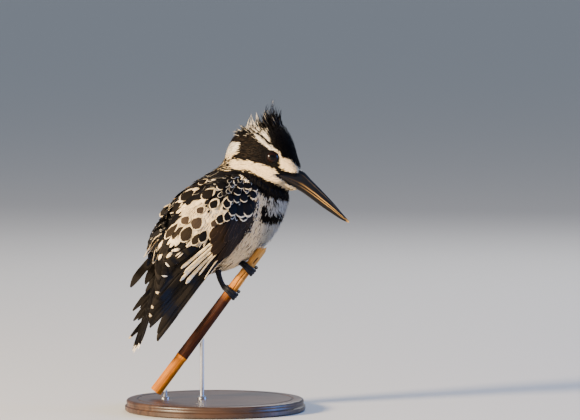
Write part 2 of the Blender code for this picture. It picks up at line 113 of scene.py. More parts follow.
def finish_piece(name, mesh, materials, replaced=(), sharp_deg=None):
    """Puts a finished mesh into the scene as a piece that rides with the bird."""
    piece = bpy.data.objects.new(name, mesh)
    bpy.context.scene.collection.objects.link(piece)
    for item in materials:
        mesh.materials.append(item)
    mesh.shade_smooth()
    if sharp_deg:
        mesh.set_sharp_from_angle(angle=math.radians(sharp_deg))
    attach(piece, "root")
    if replaced:
        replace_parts(piece, *replaced)
    return piece


def mesh_of(bm, name):
    mesh = bpy.data.meshes.new(name)
    bm.to_mesh(mesh)
    bm.free()
    return mesh


floor_bm = bmesh.new()
bmesh.ops.create_circle(floor_bm, cap_ends=True, segments=96, radius=FLOOR_RADIUS)
floor = bpy.data.objects.new("floor", mesh_of(floor_bm, "floor"))
bpy.context.scene.collection.objects.link(floor)
floor.data.materials.append(procedural("studio_floor", (0.62, 0.61, 0.59), 0.75)[0])

surround = bpy.data.worlds.new("studio_surround")
surround.use_nodes = True
surround.node_tree.nodes["Background"].inputs["Color"].default_value = (0.66, 0.76, 0.94, 1.0)
surround.node_tree.nodes["Background"].inputs["Strength"].default_value = 0.42
bpy.context.scene.world = surround


def soft_light(name, place, aim, size, watts, colour):
    lamp = bpy.data.lights.new(name, "AREA")
    lamp.shape = "DISK"
    lamp.size = size
    lamp.energy = watts
    lamp.color = colour
    made = bpy.data.objects.new(name, lamp)
    made.location = place
    made.rotation_euler = (Vector(aim) - Vector(place)).to_track_quat("-Z", "Y").to_euler()
    bpy.context.scene.collection.objects.link(made)


bird_middle = (cad_box[0] + cad_box[1]) / 2
soft_light("key_light", (-2.3, -1.45, 1.0), bird_middle, 0.6, 335.0, (1.0, 0.80, 0.54))
soft_light("fill_light", (2.4, -0.2, 0.6), bird_middle, 1.2, 78.0, (0.12, 0.34, 1.0))
soft_light("back_light", (0.5, 1.9, 1.5), bird_middle, 1.0, 22.0, (0.95, 0.97, 1.0))

camera = bpy.data.objects.new("camera", bpy.data.cameras.new("camera"))
bpy.context.scene.collection.objects.link(camera)
bpy.context.scene.camera = camera
camera.data.lens = camera.data.sensor_width * CAMERA_DISTANCE / VIEW_WIDTH
camera.data.clip_end = 3 * FLOOR_RADIUS
camera.location = VIEW_MIDDLE + CAMERA_DISTANCE * Vector((0, -math.cos(CAMERA_RISE), math.sin(CAMERA_RISE)))
camera.rotation_euler = (math.pi / 2 - CAMERA_RISE, 0, 0)

# --- The skin ---------------------------------------------------------------------------------
# One closed skin under all the feathers of the head, neck, trunk and folded wings. It lies inside
# the solids by the depth of the coat, which is thin on the face and deep on the belly.

SKIN_VOXEL = 0.0013
WELD = 1e-6
ARM_FILL_STEPS = 9  # the space between a folded wing and the trunk, filled in steps
ARM_FILL_STEP = 0.0008
BILL_ROOT_LENGTH = 0.021  # how far ahead of the eyes the skin runs over the bill's root
FLESH = ("head", "neck", "trunk", "wing_right_coverts", "wing_left_coverts")

eye_right, eye_left = (sum(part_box(n), Vector()) / 2 for n in ("eye_right", "eye_left"))
EYES_MIDDLE = (eye_right + eye_left) / 2
HEAD_ACROSS = Vector(((eye_left - eye_right).x, (eye_left - eye_right).y, 0)).normalized()
HEAD_AHEAD = HEAD_ACROSS.cross(Vector((0, 0, 1)))
TRUNK_TURN = math.radians(18.0)  # the trunk's plane, on from the head's
NECK_AXIS = EYES_MIDDLE - HEAD_AHEAD * 0.013
TRUNK_ACROSS = Matrix.Rotation(TRUNK_TURN, 3, "Z") @ HEAD_ACROSS
TRUNK_AHEAD = Matrix.Rotation(TRUNK_TURN, 3, "Z") @ HEAD_AHEAD
NECK_AHEAD_MM = 22.0  # where the neck's axis stands in the trunk's plane
UP = np.array((0.0, 0.0, 1.0))
HEAD_WAYS = np.array([HEAD_AHEAD, HEAD_ACROSS, UP])
TRUNK_WAYS = np.array([TRUNK_AHEAD, TRUNK_ACROSS, UP])
SIDES = {"right": -1, "left": 1}


def in_plane(points, middle, ways, middle_mm):
    """Points as columns (s, y, z) in mm: ahead, to the bird's left, and up."""
    away = np.asarray(points, float).reshape(-1, 3) - np.array(middle)
    return np.stack([away @ ways[0] * 1000 + middle_mm, away @ ways[1] * 1000, away[:, 2] * 1000], axis=1)


def head_plane(points):
    """Head points in mm from the eyes: ahead, to the left, up."""
    return in_plane(points, EYES_MIDDLE, HEAD_WAYS, 0.0)


def trunk_plane(points):
    """Trunk points in mm: ahead, to the left, and up from the floor."""
    return in_plane(points, (NECK_AXIS.x, NECK_AXIS.y, 0), TRUNK_WAYS, NECK_AHEAD_MM)


def placed(start, ways, a, b, c):
    """The points that lie a, b and c mm from a start, each along its own way."""
    a, b, c = np.broadcast_arrays(a, b, c)
    return start + (a[..., None] * ways[0] + b[..., None] * ways[1] + c[..., None] * ways[2]) / 1000


def from_head_plane(u, y, w):
    """The inverse of head_plane, as an array of points."""
    return placed(np.array(EYES_MIDDLE), HEAD_WAYS, u, y, w)


def from_trunk_plane(s, y, z):
    """The inverse of trunk_plane, as an array of points."""
    return placed(np.array((NECK_AXIS.x, NECK_AXIS.y, 0)), TRUNK_WAYS, s - NECK_AHEAD_MM, y, z)


def smooth_step(low, high, x):
    t = np.clip((np.asarray(x, float) - low) / (high - low), 0, 1)
    return t * t * (3 - 2 * t)


def add_part(bm, part):
    """Moves one bmesh into another."""
    held = mesh_of(part, "held")
    bm.from_mesh(held)
    bpy.data.meshes.remove(held)


def node_mesh(name):
    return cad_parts[name].data


def solid_copy(bm, node, shift=(0, 0, 0)):
    """Adds a welded copy of a CAD node to a bmesh."""
    part = bmesh.new()
    part.from_mesh(node_mesh(node))
    bmesh.ops.remove_doubles(part, verts=part.verts, dist=WELD)
    bmesh.ops.translate(part, vec=shift, verts=part.verts)
    add_part(bm, part)


def points_of(mesh):
    points = np.empty((len(mesh.vertices), 3))
    mesh.vertices.foreach_get("co", points.ravel())
    return points


def remeshed(mesh, voxel, smoothings):
    """The mesh as one closed skin of even small faces, smoothed."""
    temporary = bpy.data.objects.new("temporary", mesh)
    bpy.context.scene.collection.objects.link(temporary)
    weld = temporary.modifiers.new("even", "REMESH")
    weld.mode = "VOXEL"
    weld.voxel_size = voxel
    soften = temporary.modifiers.new("soften", "SMOOTH")
    soften.factor = 0.5
    soften.iterations = smoothings
    graph = bpy.context.evaluated_depsgraph_get()
    made = bpy.data.meshes.new_from_object(temporary.evaluated_get(graph))
    bpy.data.objects.remove(temporary)
    return made


def coat_depth(points):
    """How deep the skin lies under the outline of the plumage, in metres."""
    s, _, z = trunk_plane(points).T
    ahead, _, up = head_plane(points).T
    face = smooth_step(-14, 4, ahead) * smooth_step(-34, -24, up)
    belly = smooth_step(150, 128, z) * smooth_step(-30, -5, s)
    gape = smooth_step(4.0, 2.0, np.hypot((ahead - 9) / 2.2, up + 16.5))
    return 0.001 * (1.3 - 0.6 * face + 0.6 * belly) * (1 - 0.8 * gape)


flesh_bm = bmesh.new()
for node_name in FLESH[:3] + ("eye_right", "eye_left"):
    solid_copy(flesh_bm, node_name)
for node_name, inward in (("wing_right_coverts", 1), ("wing_left_coverts", -1)):
    for step in range(ARM_FILL_STEPS):
        solid_copy(flesh_bm, node_name, TRUNK_ACROSS * inward * step * ARM_FILL_STEP)
bill_root = bmesh.new()
for node_name in ("bill_upper", "bill_lower"):
    solid_copy(bill_root, node_name)
bmesh.ops.bisect_plane(bill_root, geom=bill_root.verts[:] + bill_root.edges[:] + bill_root.faces[:],
                       plane_co=EYES_MIDDLE + HEAD_AHEAD * BILL_ROOT_LENGTH, plane_no=HEAD_AHEAD,
                       clear_outer=True)
bmesh.ops.holes_fill(bill_root, edges=[e for e in bill_root.edges if e.is_boundary], sides=0)
add_part(flesh_bm, bill_root)
skin_mesh = remeshed(mesh_of(flesh_bm, "flesh"), SKIN_VOXEL, 8)

skin_points = points_of(skin_mesh)
skin_normals = np.array([v.normal for v in skin_mesh.vertices])
skin_points -= skin_normals * coat_depth(skin_points)[:, None]
skin_mesh.vertices.foreach_set("co", skin_points.ravel())
skin_mesh = remeshed(skin_mesh, SKIN_VOXEL, 6)
skin_mesh.name = "skin"
skin_points = points_of(skin_mesh)
finish_piece("skin", skin_mesh, [], FLESH)

# --- The head's coat --------------------------------------------------------------------------
# Small soft feathers lie over the whole head, tiny on the face and long on the crown and nape. A
# black cap and a black mask through the eye part a cream brow, lore, cheek and collar.

FACE_SPACING_MM, CROWN_SPACING_MM = 0.52, 0.80
SHOWN_AT = 3.0  # how many spacings past its root the bare part of a feather lies, which takes the colour
BLACK = np.array((0.0042, 0.0036, 0.0038))
BROWN_BLACK = np.array((0.030, 0.021, 0.014))
CREAM = np.array((0.86, 0.67, 0.41))
WHITE = np.array((0.86, 0.77, 0.62))
GREY_STREAK = np.array((0.20, 0.17, 0.15))

skin_tree = BVHTree.FromPolygons([v.co for v in skin_mesh.vertices],
                                 [tuple(p.vertices) for p in skin_mesh.polygons])
skin_soft_normals = np.array([np.mean([skin_mesh.vertices[i].normal for i in p.vertices], axis=0)
                              for p in skin_mesh.polygons])


def on_skin(points):
    """The nearest skin to each point, and the skin's smoothed normals there."""
    found = [skin_tree.find_nearest(p) for p in points.tolist()]
    at = np.array([f[0] for f in found])
    normals = skin_soft_normals[[f[2] for f in found]]
    return at, normals / np.linalg.norm(normals, axis=1, keepdims=True)


def unit(vectors):
    return vectors / np.maximum(np.linalg.norm(vectors, axis=-1, keepdims=True), 1e-9)


def inside(outline, a, b):
    """Which of the points (a, b) lie inside a closed outline."""
    hit = np.zeros(np.shape(a), bool)
    for (a0, b0), (a1, b1) in zip(outline, outline[1:] + outline[:1]):
        if b0 == b1:
            continue
        crosses = (b0 > b) != (b1 > b)
        hit ^= crosses & (a < a0 + (b - b0) * (a1 - a0) / (b1 - b0))
    return hit


def lie_from(controls, a, b):
    """The lie of the coat in a side plane, between a few given directions."""
    spots = np.array([c[0] for c in controls], float)
    ways = unit(np.array([c[1] for c in controls], float))
    away = (a[:, None] - spots[:, 0]) ** 2 + (b[:, None] - spots[:, 1]) ** 2 + 4.0
    return unit((ways[None] / away[:, :, None] ** 1.2).sum(axis=1))


def out_of_plane(way, ways):
    """Directions in a side plane, turned into directions in space."""
    return way[:, :1] * ways[0] + way[:, 1:] * UP


def mixed(one, other, share):
    return one + (other - one) * share


def scattered_roots(wanted, spacing_mm):
    """Points spread evenly over the wanted part of the skin, none nearer its neighbours than the spacing."""
    skin_mesh.calc_loop_triangles()
    corners = np.array([t.vertices for t in skin_mesh.loop_triangles])
    a, b, c = (skin_points[corners[:, k]] for k in range(3))
    middle = (a + b + c) / 3
    area = np.linalg.norm(np.cross(b - a, c - a), axis=1) / 2
    tries = np.where(wanted(middle), 5 * area / (spacing_mm(middle) / 1000) ** 2, 0)
    count = np.floor(tries + rng.random(len(tries))).astype(int)
    index = rng.permutation(np.repeat(np.arange(len(corners)), count))
    r1, r2 = np.sqrt(rng.random(len(index))), rng.random(len(index))
    points = (a[index] * (1 - r1)[:, None] + b[index] * (r1 * (1 - r2))[:, None]
              + c[index] * (r1 * r2)[:, None])
    tree = KDTree(len(points))
    for k, p in enumerate(points.tolist()):
        tree.insert(p, k)
    tree.balance()
    kept = np.ones(len(points), bool)
    for k, (p, reach) in enumerate(zip(points.tolist(), (spacing_mm(points) / 1000).tolist())):
        if kept[k]:
            for _, near, _ in tree.find_range(p, reach):
                kept[near] = near == k
    return points[kept]


def blade(stops, around):
    """A closed blade: a ring extruded from root to tip, with a row of points at each stop along it."""
    bm = bmesh.new()
    bmesh.ops.create_circle(bm, cap_ends=True, segments=around, radius=1.0)
    bmesh.ops.rotate(bm, verts=bm.verts, matrix=Matrix.Rotation(math.pi / 2 if around % 2 else 0.0, 3, "Z"))
    end = bm.faces[:][0]
    for _ in stops[1:]:
        made = bmesh.ops.extrude_face_region(bm, geom=[end])["geom"]
        end = next(g for g in made if isinstance(g, bmesh.types.BMFace))
        bmesh.ops.translate(bm, vec=(0, 0, 1), verts=[g for g in made if isinstance(g, bmesh.types.BMVert)])
    bmesh.ops.recalc_face_normals(bm, faces=bm.faces)
    bm.verts.index_update()
    co = np.array([v.co for v in bm.verts])
    faces = [[v.index for v in f.verts] for f in bm.faces]
    bm.free()
    across = co[:, 0] / np.abs(co[:, 0]).max()
    return across, co[:, 1], np.rint(co[:, 2]).astype(int), faces


def tuft_width(t):
    return np.clip(t / 0.25, 0.25, 1) ** 0.5 * np.clip((1 - t) / 0.55, 0.06, 1) ** 0.6


class Coat:
    """Gathers feathers, then joins them into one mesh with their colours and their bake map."""

    def __init__(self, name):
        self.name = name
        self.parts = []

    def lay(self, roots, flow, length_mm, width_mm, tint, stops=(0, 0.35, 0.7, 1), lift_mm=(0.1, 1.2),
            stray_deg=7.0, rise=1.3, guide=on_skin, **looks):
        """Lays one feather from each root along a guide surface, rising from root to tip.

        flow gives the lie at a set of points, before it is laid flat.
        """
        n = len(roots)
        stops = np.array(stops, float)
        length = np.broadcast_to(length_mm, n) / 1000
        stray = np.radians(rng.normal(0, stray_deg, n))
        middle, normals = np.empty((n, len(stops), 3)), np.empty((n, len(stops), 3))
        at, normal = guide(roots)
        for k, t in enumerate(stops):
            if k:
                way = flow(at)
                way = unit(way - normal * (way * normal).sum(axis=1, keepdims=True))
                way = way * np.cos(stray)[:, None] + np.cross(normal, way) * np.sin(stray)[:, None]
                at, normal = guide(at + way * (length * (t - stops[k - 1]))[:, None])
            middle[:, k], normals[:, k] = at, normal
        lift = np.array([np.broadcast_to(v, n) for v in lift_mm]) / 1000
        raised = lift[0][:, None] + (lift[1] - lift[0])[:, None] * stops ** rise
        self.grow(middle + normals * raised[:, :, None], normals, stops, width_mm, tint, **looks)

    def grow(self, middle, normals, stops, width_mm, tint, around=3, roll_deg=9.0, bend=0.08, skew=0.0,
             width=tuft_width, thickness_mm=0.09, droop=0.12, second=None, mark=None, patch=None):
        """Adds one closed blade along each middle line.

        tint and second are colours (n, 3); mark(across, along, half width mm, length mm) is above zero
        where a feather shows its second colour. patch gives each feather's place on the bake map. skew
        shifts the vane aside from its shaft.
        """
        n = len(middle)
        stops = np.array(stops, float)
        half = np.broadcast_to(width_mm, n) / 2000
        length = np.linalg.norm(np.diff(middle, axis=1), axis=2).sum(axis=1)
        across, height, row, faces = blade(stops, around)
        ahead = unit(np.gradient(middle, axis=1))
        up = unit(normals - ahead * (normals * ahead).sum(axis=2, keepdims=True))
        side = np.cross(up, ahead)
        roll = np.radians(rng.normal(0, roll_deg, n))[:, None, None]
        side, up = side * np.cos(roll) + up * np.sin(roll), up * np.cos(roll) - side * np.sin(roll)
        sway = rng.normal(0, bend, n)[:, None] * length[:, None] * stops ** 2
        middle = middle + side * sway[:, :, None]
        spread = width(stops)[None] * half[:, None]
        thick = thickness_mm / 2000 * np.clip((1 - stops) / 0.3, 0.2, 1)
        points = (middle[:, row] + side[:, row] * (spread[:, row] * (across + skew))[:, :, None]
                  + up[:, row] * (thick[row] * height - droop * spread[:, row] * across ** 2)[:, :, None])
        if patch is None:
            spot = unwrapped(middle[:, 0])
            bake = spot[:, None] + 0.003 * np.stack([across * 0.4, stops[row] - 0.5], axis=1)[None]
        else:
            low, wide = patch
            bake = low[:, None] + wide[:, None] * np.stack([across * 0.5 + 0.5, stops[row]], axis=1)[None]
        vane = np.broadcast_to(np.stack([across * 0.5 + 0.5, stops[row]], axis=1), (n, len(row), 2))
        tint = np.broadcast_to(tint, (n, 3))
        second = tint if second is None else np.broadcast_to(second, (n, 3))
        shown = 0.0 if mark is None else mark(across[None], stops[row][None], spread[:, row] * 1000,
                                              length[:, None] * 1000)
        shown = np.broadcast_to(shown, (n, len(row)))
        self.parts.append((points, faces, bake, vane, tint, second, shown))

    def joined(self, material, faceted=False):
        """Joins every feather laid so far into one piece, with its faces shaded flat or smooth."""
        mesh = bpy.data.meshes.new(self.name)
        points, loops, starts = [], [], []
        base = loop_base = 0
        for part_points, faces, *_ in self.parts:
            n, v = part_points.shape[:2]
            points.append(part_points.reshape(-1, 3))
            one = np.concatenate(faces)
            loops.append((one[None] + (base + np.arange(n) * v)[:, None]).ravel())
            sizes = np.array([len(f) for f in faces])
            first = np.concatenate([[0], np.cumsum(sizes)[:-1]])
            starts.append((first[None] + (loop_base + np.arange(n) * len(one))[:, None]).ravel())
            base += n * v
            loop_base += n * len(one)
        points, loops, starts = np.concatenate(points), np.concatenate(loops), np.concatenate(starts)
        mesh.vertices.add(len(points))
        mesh.vertices.foreach_set("co", points.ravel())
        mesh.loops.add(len(loops))
        mesh.loops.foreach_set("vertex_index", loops)
        mesh.polygons.add(len(starts))
        mesh.polygons.foreach_set("loop_start", starts)
        mesh.update(calc_edges=True)
        for name, which in (("OFBake", 2), ("Vane", 3)):
            layer = mesh.uv_layers.new(name=name)
            flat = np.concatenate([np.asarray(part[which]).reshape(-1, 2) for part in self.parts])
            layer.data.foreach_set("uv", flat[loops].ravel())
        for name, which in (("tint", 4), ("second", 5)):
            layer = mesh.attributes.new(name, "FLOAT_COLOR", "POINT")
            flat = np.concatenate([np.repeat(part[which], part[0].shape[1], axis=0) for part in self.parts])
            layer.data.foreach_set("color", np.column_stack([flat, np.ones(len(flat))]).ravel())
        layer = mesh.attributes.new("mark", "FLOAT", "POINT")
        layer.data.foreach_set("value", np.concatenate([part[6].ravel() for part in self.parts]))
        mesh.validate()
        piece = finish_piece(self.name, mesh, [material])
        if faceted:
            mesh.shade_flat()
        return piece


def unwrapped(points):
    """Each point's place on a flattening of the skin: one side of the bird opened out like a dome.

    The angle away from straight sideways gives the distance from the middle of the map.
    """
    own = head_plane(points) - np.array((-8.0, 0, -20.0))
    out = np.arctan2(np.hypot(own[:, 0], own[:, 2]), np.abs(own[:, 1])) / (0.62 * math.pi)
    turn = np.arctan2(own[:, 2], own[:, 0])
    return 0.5 + 0.49 * np.clip(out, 0, 1)[:, None] * np.stack([np.cos(turn), np.sin(turn)], axis=1)


HEAD_LIE = [
    ((24, -4), (-0.35, 0.95)), ((20, 12), (-0.45, 0.9)), ((10, 25), (-0.35, 0.95)), ((0, 32), (-0.2, 1)),
    ((-15, 30), (-0.75, 0.7)), ((-28, 22), (-0.95, 0.1)), ((-34, 5), (-0.75, -0.65)),
    ((-15, 8), (-0.95, 0.25)), ((-20, -3), (-1, 0)), ((0, 10), (-0.75, 0.65)), ((-10, -8), (-0.95, 0.15)),
    ((15, -10), (-0.9, 0.3)), ((5, -18), (-0.95, 0.1)), ((0, -24), (-0.9, -0.3)), ((15, -27), (-0.95, -0.2)),
]
LORE = [
    (7.8, 0.6), (11.8, -0.3), (14.8, -1.1), (18.2, -3.7), (21.5, -7.5), (23.6, -10.9), (22.2, -11.9),
    (16.9, -12.1), (12.1, -10.4), (8.3, -8.7), (7.8, -4.6),
]
BROW = [
    (-13.6, 20.7), (-10.1, 19.2), (-5.7, 15.4), (-1.8, 12.0), (1.2, 10.1), (4.6, 7.4), (8.0, 4.2), (9.5, 0.2),
    (7.4, 0.2), (5.9, 3.9), (2.9, 6.6), (-2.0, 8.2), (-6.4, 10.9), (-9.4, 14.2), (-11.7, 16.8), (-14.1, 19.0),
]
CROWN_PATCH = [
    (-11.2, 28.4), (-6.1, 30.5), (-2.7, 30.1), (-1.1, 25.0), (-1.9, 20.5), (1.2, 13.4), (-0.6, 12.5),
    (-4.9, 17.1), (-8.8, 20.9), (-12.0, 22.5),
]
HIND_CROWN = [(-27, 26), (-21.4, 19.7), (-14.3, 18), (-11, 22), (-7.8, 34), (-22, 34)]
CHEEK = [
    (-34.7, -1.3), (-26.4, -1.2), (-17.9, -2.4), (-10.6, -4.4), (-2.2, -6.8), (4.4, -10.0), (7.4, -14.8),
    (11.0, -18.1), (15.4, -21.6), (20.0, -24.6), (25, -27.0), (25, -30), (15.2, -27.5), (9.7, -24.4),
    (4.0, -21.7), (-3.1, -18.5), (-11.5, -14.7), (-17.5, -11.1), (-24.7, -10.4), (-30.9, -9.2), (-34.3, -6.3),
]
GAPE = [(2.5, -12.8), (8, -13.0), (13, -13.2), (22.5, -12.6), (30, -8), (30, -34), (23, -26.5), (15, -22.3),
        (8.5, -18.2), (3.5, -15.0)]
NAPE = [
    (-29.2, 14.5), (-27.2, 12.8), (-27.0, 7.8), (-29.5, 3.3), (-33.9, -0.5), (-39, -1.1), (-44, 4.8),
    (-42, 11.5), (-33, 14.3),
]
EYE_SPOT = (1.3, 0.8)  # the eye's middle, ahead and up


def head_black(u, w):
    """Which places in the head's side plane are black, not cream or white."""
    pale = inside(LORE, u, w) | inside(BROW, u, w) | inside(CHEEK, u, w) | inside(NAPE, u, w)
    return ~(pale | inside(CROWN_PATCH, u, w))


def head_streaks(u, w):
    """The chance that a feather is of the other colour: on the crown, the hind crown and the nape."""
    below_nape = 0.45 * smooth_step(-32, -37, u) * smooth_step(3, -1, w)
    fore = inside(CROWN_PATCH, u, w) * smooth_step(17, 24, w)
    return 0.45 * inside(HIND_CROWN, u, w) + 0.35 * fore + below_nape


def head_flow(points):
    own = head_plane(points)
    return out_of_plane(lie_from(HEAD_LIE, own[:, 0], own[:, 2]), HEAD_WAYS)


def on_head(points):
    """Whether points belong to the head, above the collar's lower edge."""
    u, _, w = head_plane(points).T
    return w > np.interp(u, [-45, -36, -20, -8, 2, 12, 24], [-9, -9.5, -12, -18, -25, -28, -29])


def bare(points):
    """The places with no feathers: round the eyes and at the bill's root."""
    u, _, w = head_plane(points).T
    return (np.hypot(u - EYE_SPOT[0], w - EYE_SPOT[1]) < 6.0) | (u > 24.5) | inside(GAPE, u, w)


def head_part(points):
    return on_head(points) & ~bare(points)


def head_spacing(points):
    u, _, w = head_plane(points).T
    face = smooth_step(-22, 8, u) * smooth_step(26, 8, w)
    return mixed(CROWN_SPACING_MM, FACE_SPACING_MM, face)


def plumage(name, roughness, streak=0.18, relief=0.25, ragged_mm=0.25, root_shade=0.45, grain=0.12):
    """Feather vanes in their own two colours, finely barbed, and painted darker toward the root as shade."""
    made, shader, node = procedural(name, roughness=roughness, gloss=0.06)
    tint = node("ShaderNodeAttribute", {"attribute_name": "tint"})
    second = node("ShaderNodeAttribute", {"attribute_name": "second"})
    mark = node("ShaderNodeAttribute", {"attribute_name": "mark"})
    vane = node("ShaderNodeUVMap", {"uv_map": "Vane"})
    place = node("ShaderNodeTexCoord")
    mottle = node("ShaderNodeTexNoise", Vector=place.outputs["Object"], Scale=900.0, Detail=2.0)
    ragged = node("ShaderNodeMath", {"operation": "MULTIPLY_ADD"}, _0=mottle.outputs["Fac"],
                  _1=2 * ragged_mm, _2=-ragged_mm)
    edge = node("ShaderNodeMath", {"operation": "ADD"}, _0=mark.outputs["Fac"], _1=ragged.outputs[0])
    shown = node("ShaderNodeMapRange", Value=edge.outputs[0], From_Min=-0.12, From_Max=0.12)
    colour = node("ShaderNodeMix", {"data_type": "RGBA"}, Factor=shown.outputs[0], _6=tint.outputs["Color"],
                  _7=second.outputs["Color"])
    split = node("ShaderNodeSeparateXYZ", Vector=vane.outputs[0])
    # painted shade: each vane darkens toward its root, where the feathers lying over it shade it
    root = node("ShaderNodeMapRange", Value=split.outputs["Y"], From_Max=0.5, To_Min=root_shade, To_Max=1.0)
    fleck = node("ShaderNodeMapRange", Value=mottle.outputs["Fac"], To_Min=1 - streak, To_Max=1 + streak)
    shift = node("ShaderNodeVectorMath", {"operation": "SCALE"}, _0=place.outputs["Object"], Scale=30.0)
    run = node("ShaderNodeVectorMath", {"operation": "MULTIPLY_ADD"}, _0=vane.outputs[0], _1=(26.0, 0.7, 1.0),
               _2=shift.outputs[0])
    barbs = node("ShaderNodeTexNoise", Vector=run.outputs[0], Scale=3.0)
    strands = node("ShaderNodeMapRange", Value=barbs.outputs["Fac"], From_Min=0.3, From_Max=0.7,
                   To_Min=1 - grain, To_Max=1 + grain)
    both = node("ShaderNodeMath", {"operation": "MULTIPLY"}, _0=root.outputs[0], _1=fleck.outputs[0])
    tone = node("ShaderNodeMath", {"operation": "MULTIPLY"}, _0=both.outputs[0], _1=strands.outputs[0])
    shaded = node("ShaderNodeVectorMath", {"operation": "SCALE"}, _0=colour.outputs[2], Scale=tone.outputs[0])
    bump = node("ShaderNodeBump", Strength=relief, Distance=0.0002, Height=barbs.outputs["Fac"])
    wire(shader, Base_Color=shaded.outputs[0], Normal=bump.outputs[0])
    return made


head_finish = plumage("head_feathers", 0.42, root_shade=0.8)
for side, sign in SIDES.items():
    def wanted(points):
        return head_part(points) & (head_plane(points)[:, 1] * sign > 0)

    roots = scattered_roots(wanted, head_spacing)
    n = len(roots)
    u, _, w = head_plane(roots).T
    spacing = head_spacing(roots)
    lie = lie_from(HEAD_LIE, u, w)
    shown_u, shown_w = u + lie[:, 0] * spacing * SHOWN_AT, w + lie[:, 1] * spacing * SHOWN_AT
    shown_u, shown_w = shown_u + rng.normal(0, 0.45, n), shown_w + rng.normal(0, 0.45, n)
    dark = head_black(shown_u, shown_w) ^ (rng.random(n) < head_streaks(shown_u, shown_w))
    hind = smooth_step(-2, -14, u) * smooth_step(-8, 2, w)
    crown = smooth_step(8, 20, w) * smooth_step(-4, -12, u)
    brown = rng.random(n) ** 2 * (0.8 * hind + 0.1)
    black = mixed(BLACK, BROWN_BLACK, brown[:, None])
    pale = np.where((w > 6)[:, None], WHITE, CREAM)
    pale = mixed(pale, GREY_STREAK * 1.2, (crown * rng.random(n) ** 0.7)[:, None])
    tint = np.where(dark[:, None], black, pale) * rng.normal(1.0, 0.08, (n, 1))
    near_eye = 1 - 0.55 * np.exp(-((np.hypot(u - EYE_SPOT[0], w - EYE_SPOT[1]) - 5.5) / 2.5) ** 2)
    forehead = np.interp(w, [-2, 6, 14, 24, 32], [0, 1.3, 2.6, 3.3, 2.8]) * smooth_step(-6, 2, u)
    long = spacing * (np.where(dark, 5.4, 6.4) * rng.uniform(0.85, 1.2, n) + forehead) * near_eye
    tips = np.where(dark, 1.2, 0.55) * spacing * rng.uniform(0.6, 1.4, n) + 0.25
    tips += forehead * rng.uniform(0.7, 1.15, n)
    coat = Coat(f"coat_head_{side}")
    coat.lay(roots, head_flow, long, np.where(dark, 1.3, 1.5) * spacing, tint,
             lift_mm=(0.12, tips * near_eye ** 2), roll_deg=5, stray_deg=6, thickness_mm=0.07)
    coat.joined(head_finish)

# --- The crest --------------------------------------------------------------------------------
# Ragged wet plumes stand up from the crown. Each is a few long narrow feathers stuck together at
# the tip: black in front, whitish behind.

PLUMES = [  # root and tip in the head's side plane, and how far to the left its tip leans
    ((-27, 21.4), (-29.5, 24.0), 4), ((-22, 25.4), (-25.0, 28.0), -5), ((-15, 28.4), (-17.6, 36.6), 5),
    ((-10, 29.4), (-12.5, 37.8), -4), ((-5, 30.4), (-3.6, 45.0), 3), ((0, 30.4), (1, 49.2), 0),
    ((3, 29.4), (4.6, 43.4), -3), ((6.5, 28.4), (7.8, 40.6), 2), ((-3, 30), (-5.5, 38.0), -2),
    ((4, 29), (3.4, 38.5), 3),
]
STRANDS, STRAND_STOPS = 9, (0, 0.2, 0.4, 0.6, 0.8, 0.93, 1)
LOOSE_STRANDS = 620


def strand_width(t):
    return np.clip(t / 0.15, 0.4, 1) * np.clip((1 - t) / 0.7, 0.05, 1) ** 0.8


def strands_to(tips, roots, lean):
    """Middle lines that leave the crown along its lie and bow up to their tips."""
    feet, normals = on_skin(roots)
    flow = unit(head_flow(feet))
    reach = np.linalg.norm(tips - feet, axis=1)[:, None]
    knee = feet + (flow * lean + normals * (1 - lean)) * reach * 0.45
    t = np.array(STRAND_STOPS)[None, :, None]
    middle = feet[:, None] * (1 - t) ** 2 + 2 * knee[:, None] * t * (1 - t) + tips[:, None] * t ** 2
    facing = unit(np.cross(np.gradient(middle, axis=1), HEAD_WAYS[0] + rng.normal(0, 0.3, (len(tips), 1, 3))))
    return middle, facing


crest = Coat("coat_crest")
for (root_u, root_w), (tip_u, tip_w), aside in PLUMES:
    tips = from_head_plane(tip_u + rng.normal(0, 0.7, STRANDS), aside + rng.normal(0, 0.7, STRANDS),
                           tip_w - np.abs(rng.normal(0, 3.0, STRANDS)) * (np.arange(STRANDS) > 1))
    roots = from_head_plane(root_u + rng.normal(0, 2.0, STRANDS), aside * 0.4 + rng.normal(0, 1.8, STRANDS),
                            root_w + np.zeros(STRANDS))
    middle, facing = strands_to(tips, roots, 0.55)
    pale = (rng.random(STRANDS) < (0.2 if root_u < -18 else 0.8 if root_u < -8 else 0.04))[:, None]
    tint = np.where(pale, WHITE * 0.8, BLACK) * rng.normal(1, 0.12, (STRANDS, 1))
    crest.grow(middle, facing, STRAND_STOPS, rng.uniform(0.8, 1.5, STRANDS), tint, width=strand_width,
               thickness_mm=0.35, roll_deg=30, bend=0.03)
u = rng.uniform(-28, 12, LOOSE_STRANDS)
rim = np.interp(u, [-28, -20, -12, -2, 6, 9, 12], [21, 26.0, 29.0, 31, 29.5, 27.5, 24.5])
roots = from_head_plane(u, rng.normal(0, 6.5, LOOSE_STRANDS), rim - rng.uniform(0, 3, LOOSE_STRANDS))
feet, normals = on_skin(roots)
reach = np.interp(u, [-28, -12, -6, 0, 6, 12], [5.0, 7.5, 9.0, 11.5, 11.5, 6.5])
reach *= rng.uniform(0.5, 1.1, LOOSE_STRANDS)
upright = rng.uniform(0.1, 0.6, LOOSE_STRANDS)
tips = feet + (unit(head_flow(feet)) + normals * upright[:, None]) * reach[:, None] / 1000
middle, facing = strands_to(tips, roots, 0.8)
own = head_plane(feet)
front = smooth_step(-9, -4, own[:, 0] + rng.normal(0, 2.0, LOOSE_STRANDS))
hind = smooth_step(-14, -20, own[:, 0])
dark = (rng.random(LOOSE_STRANDS) < 0.40 + 0.56 * front + 0.45 * hind)[:, None]
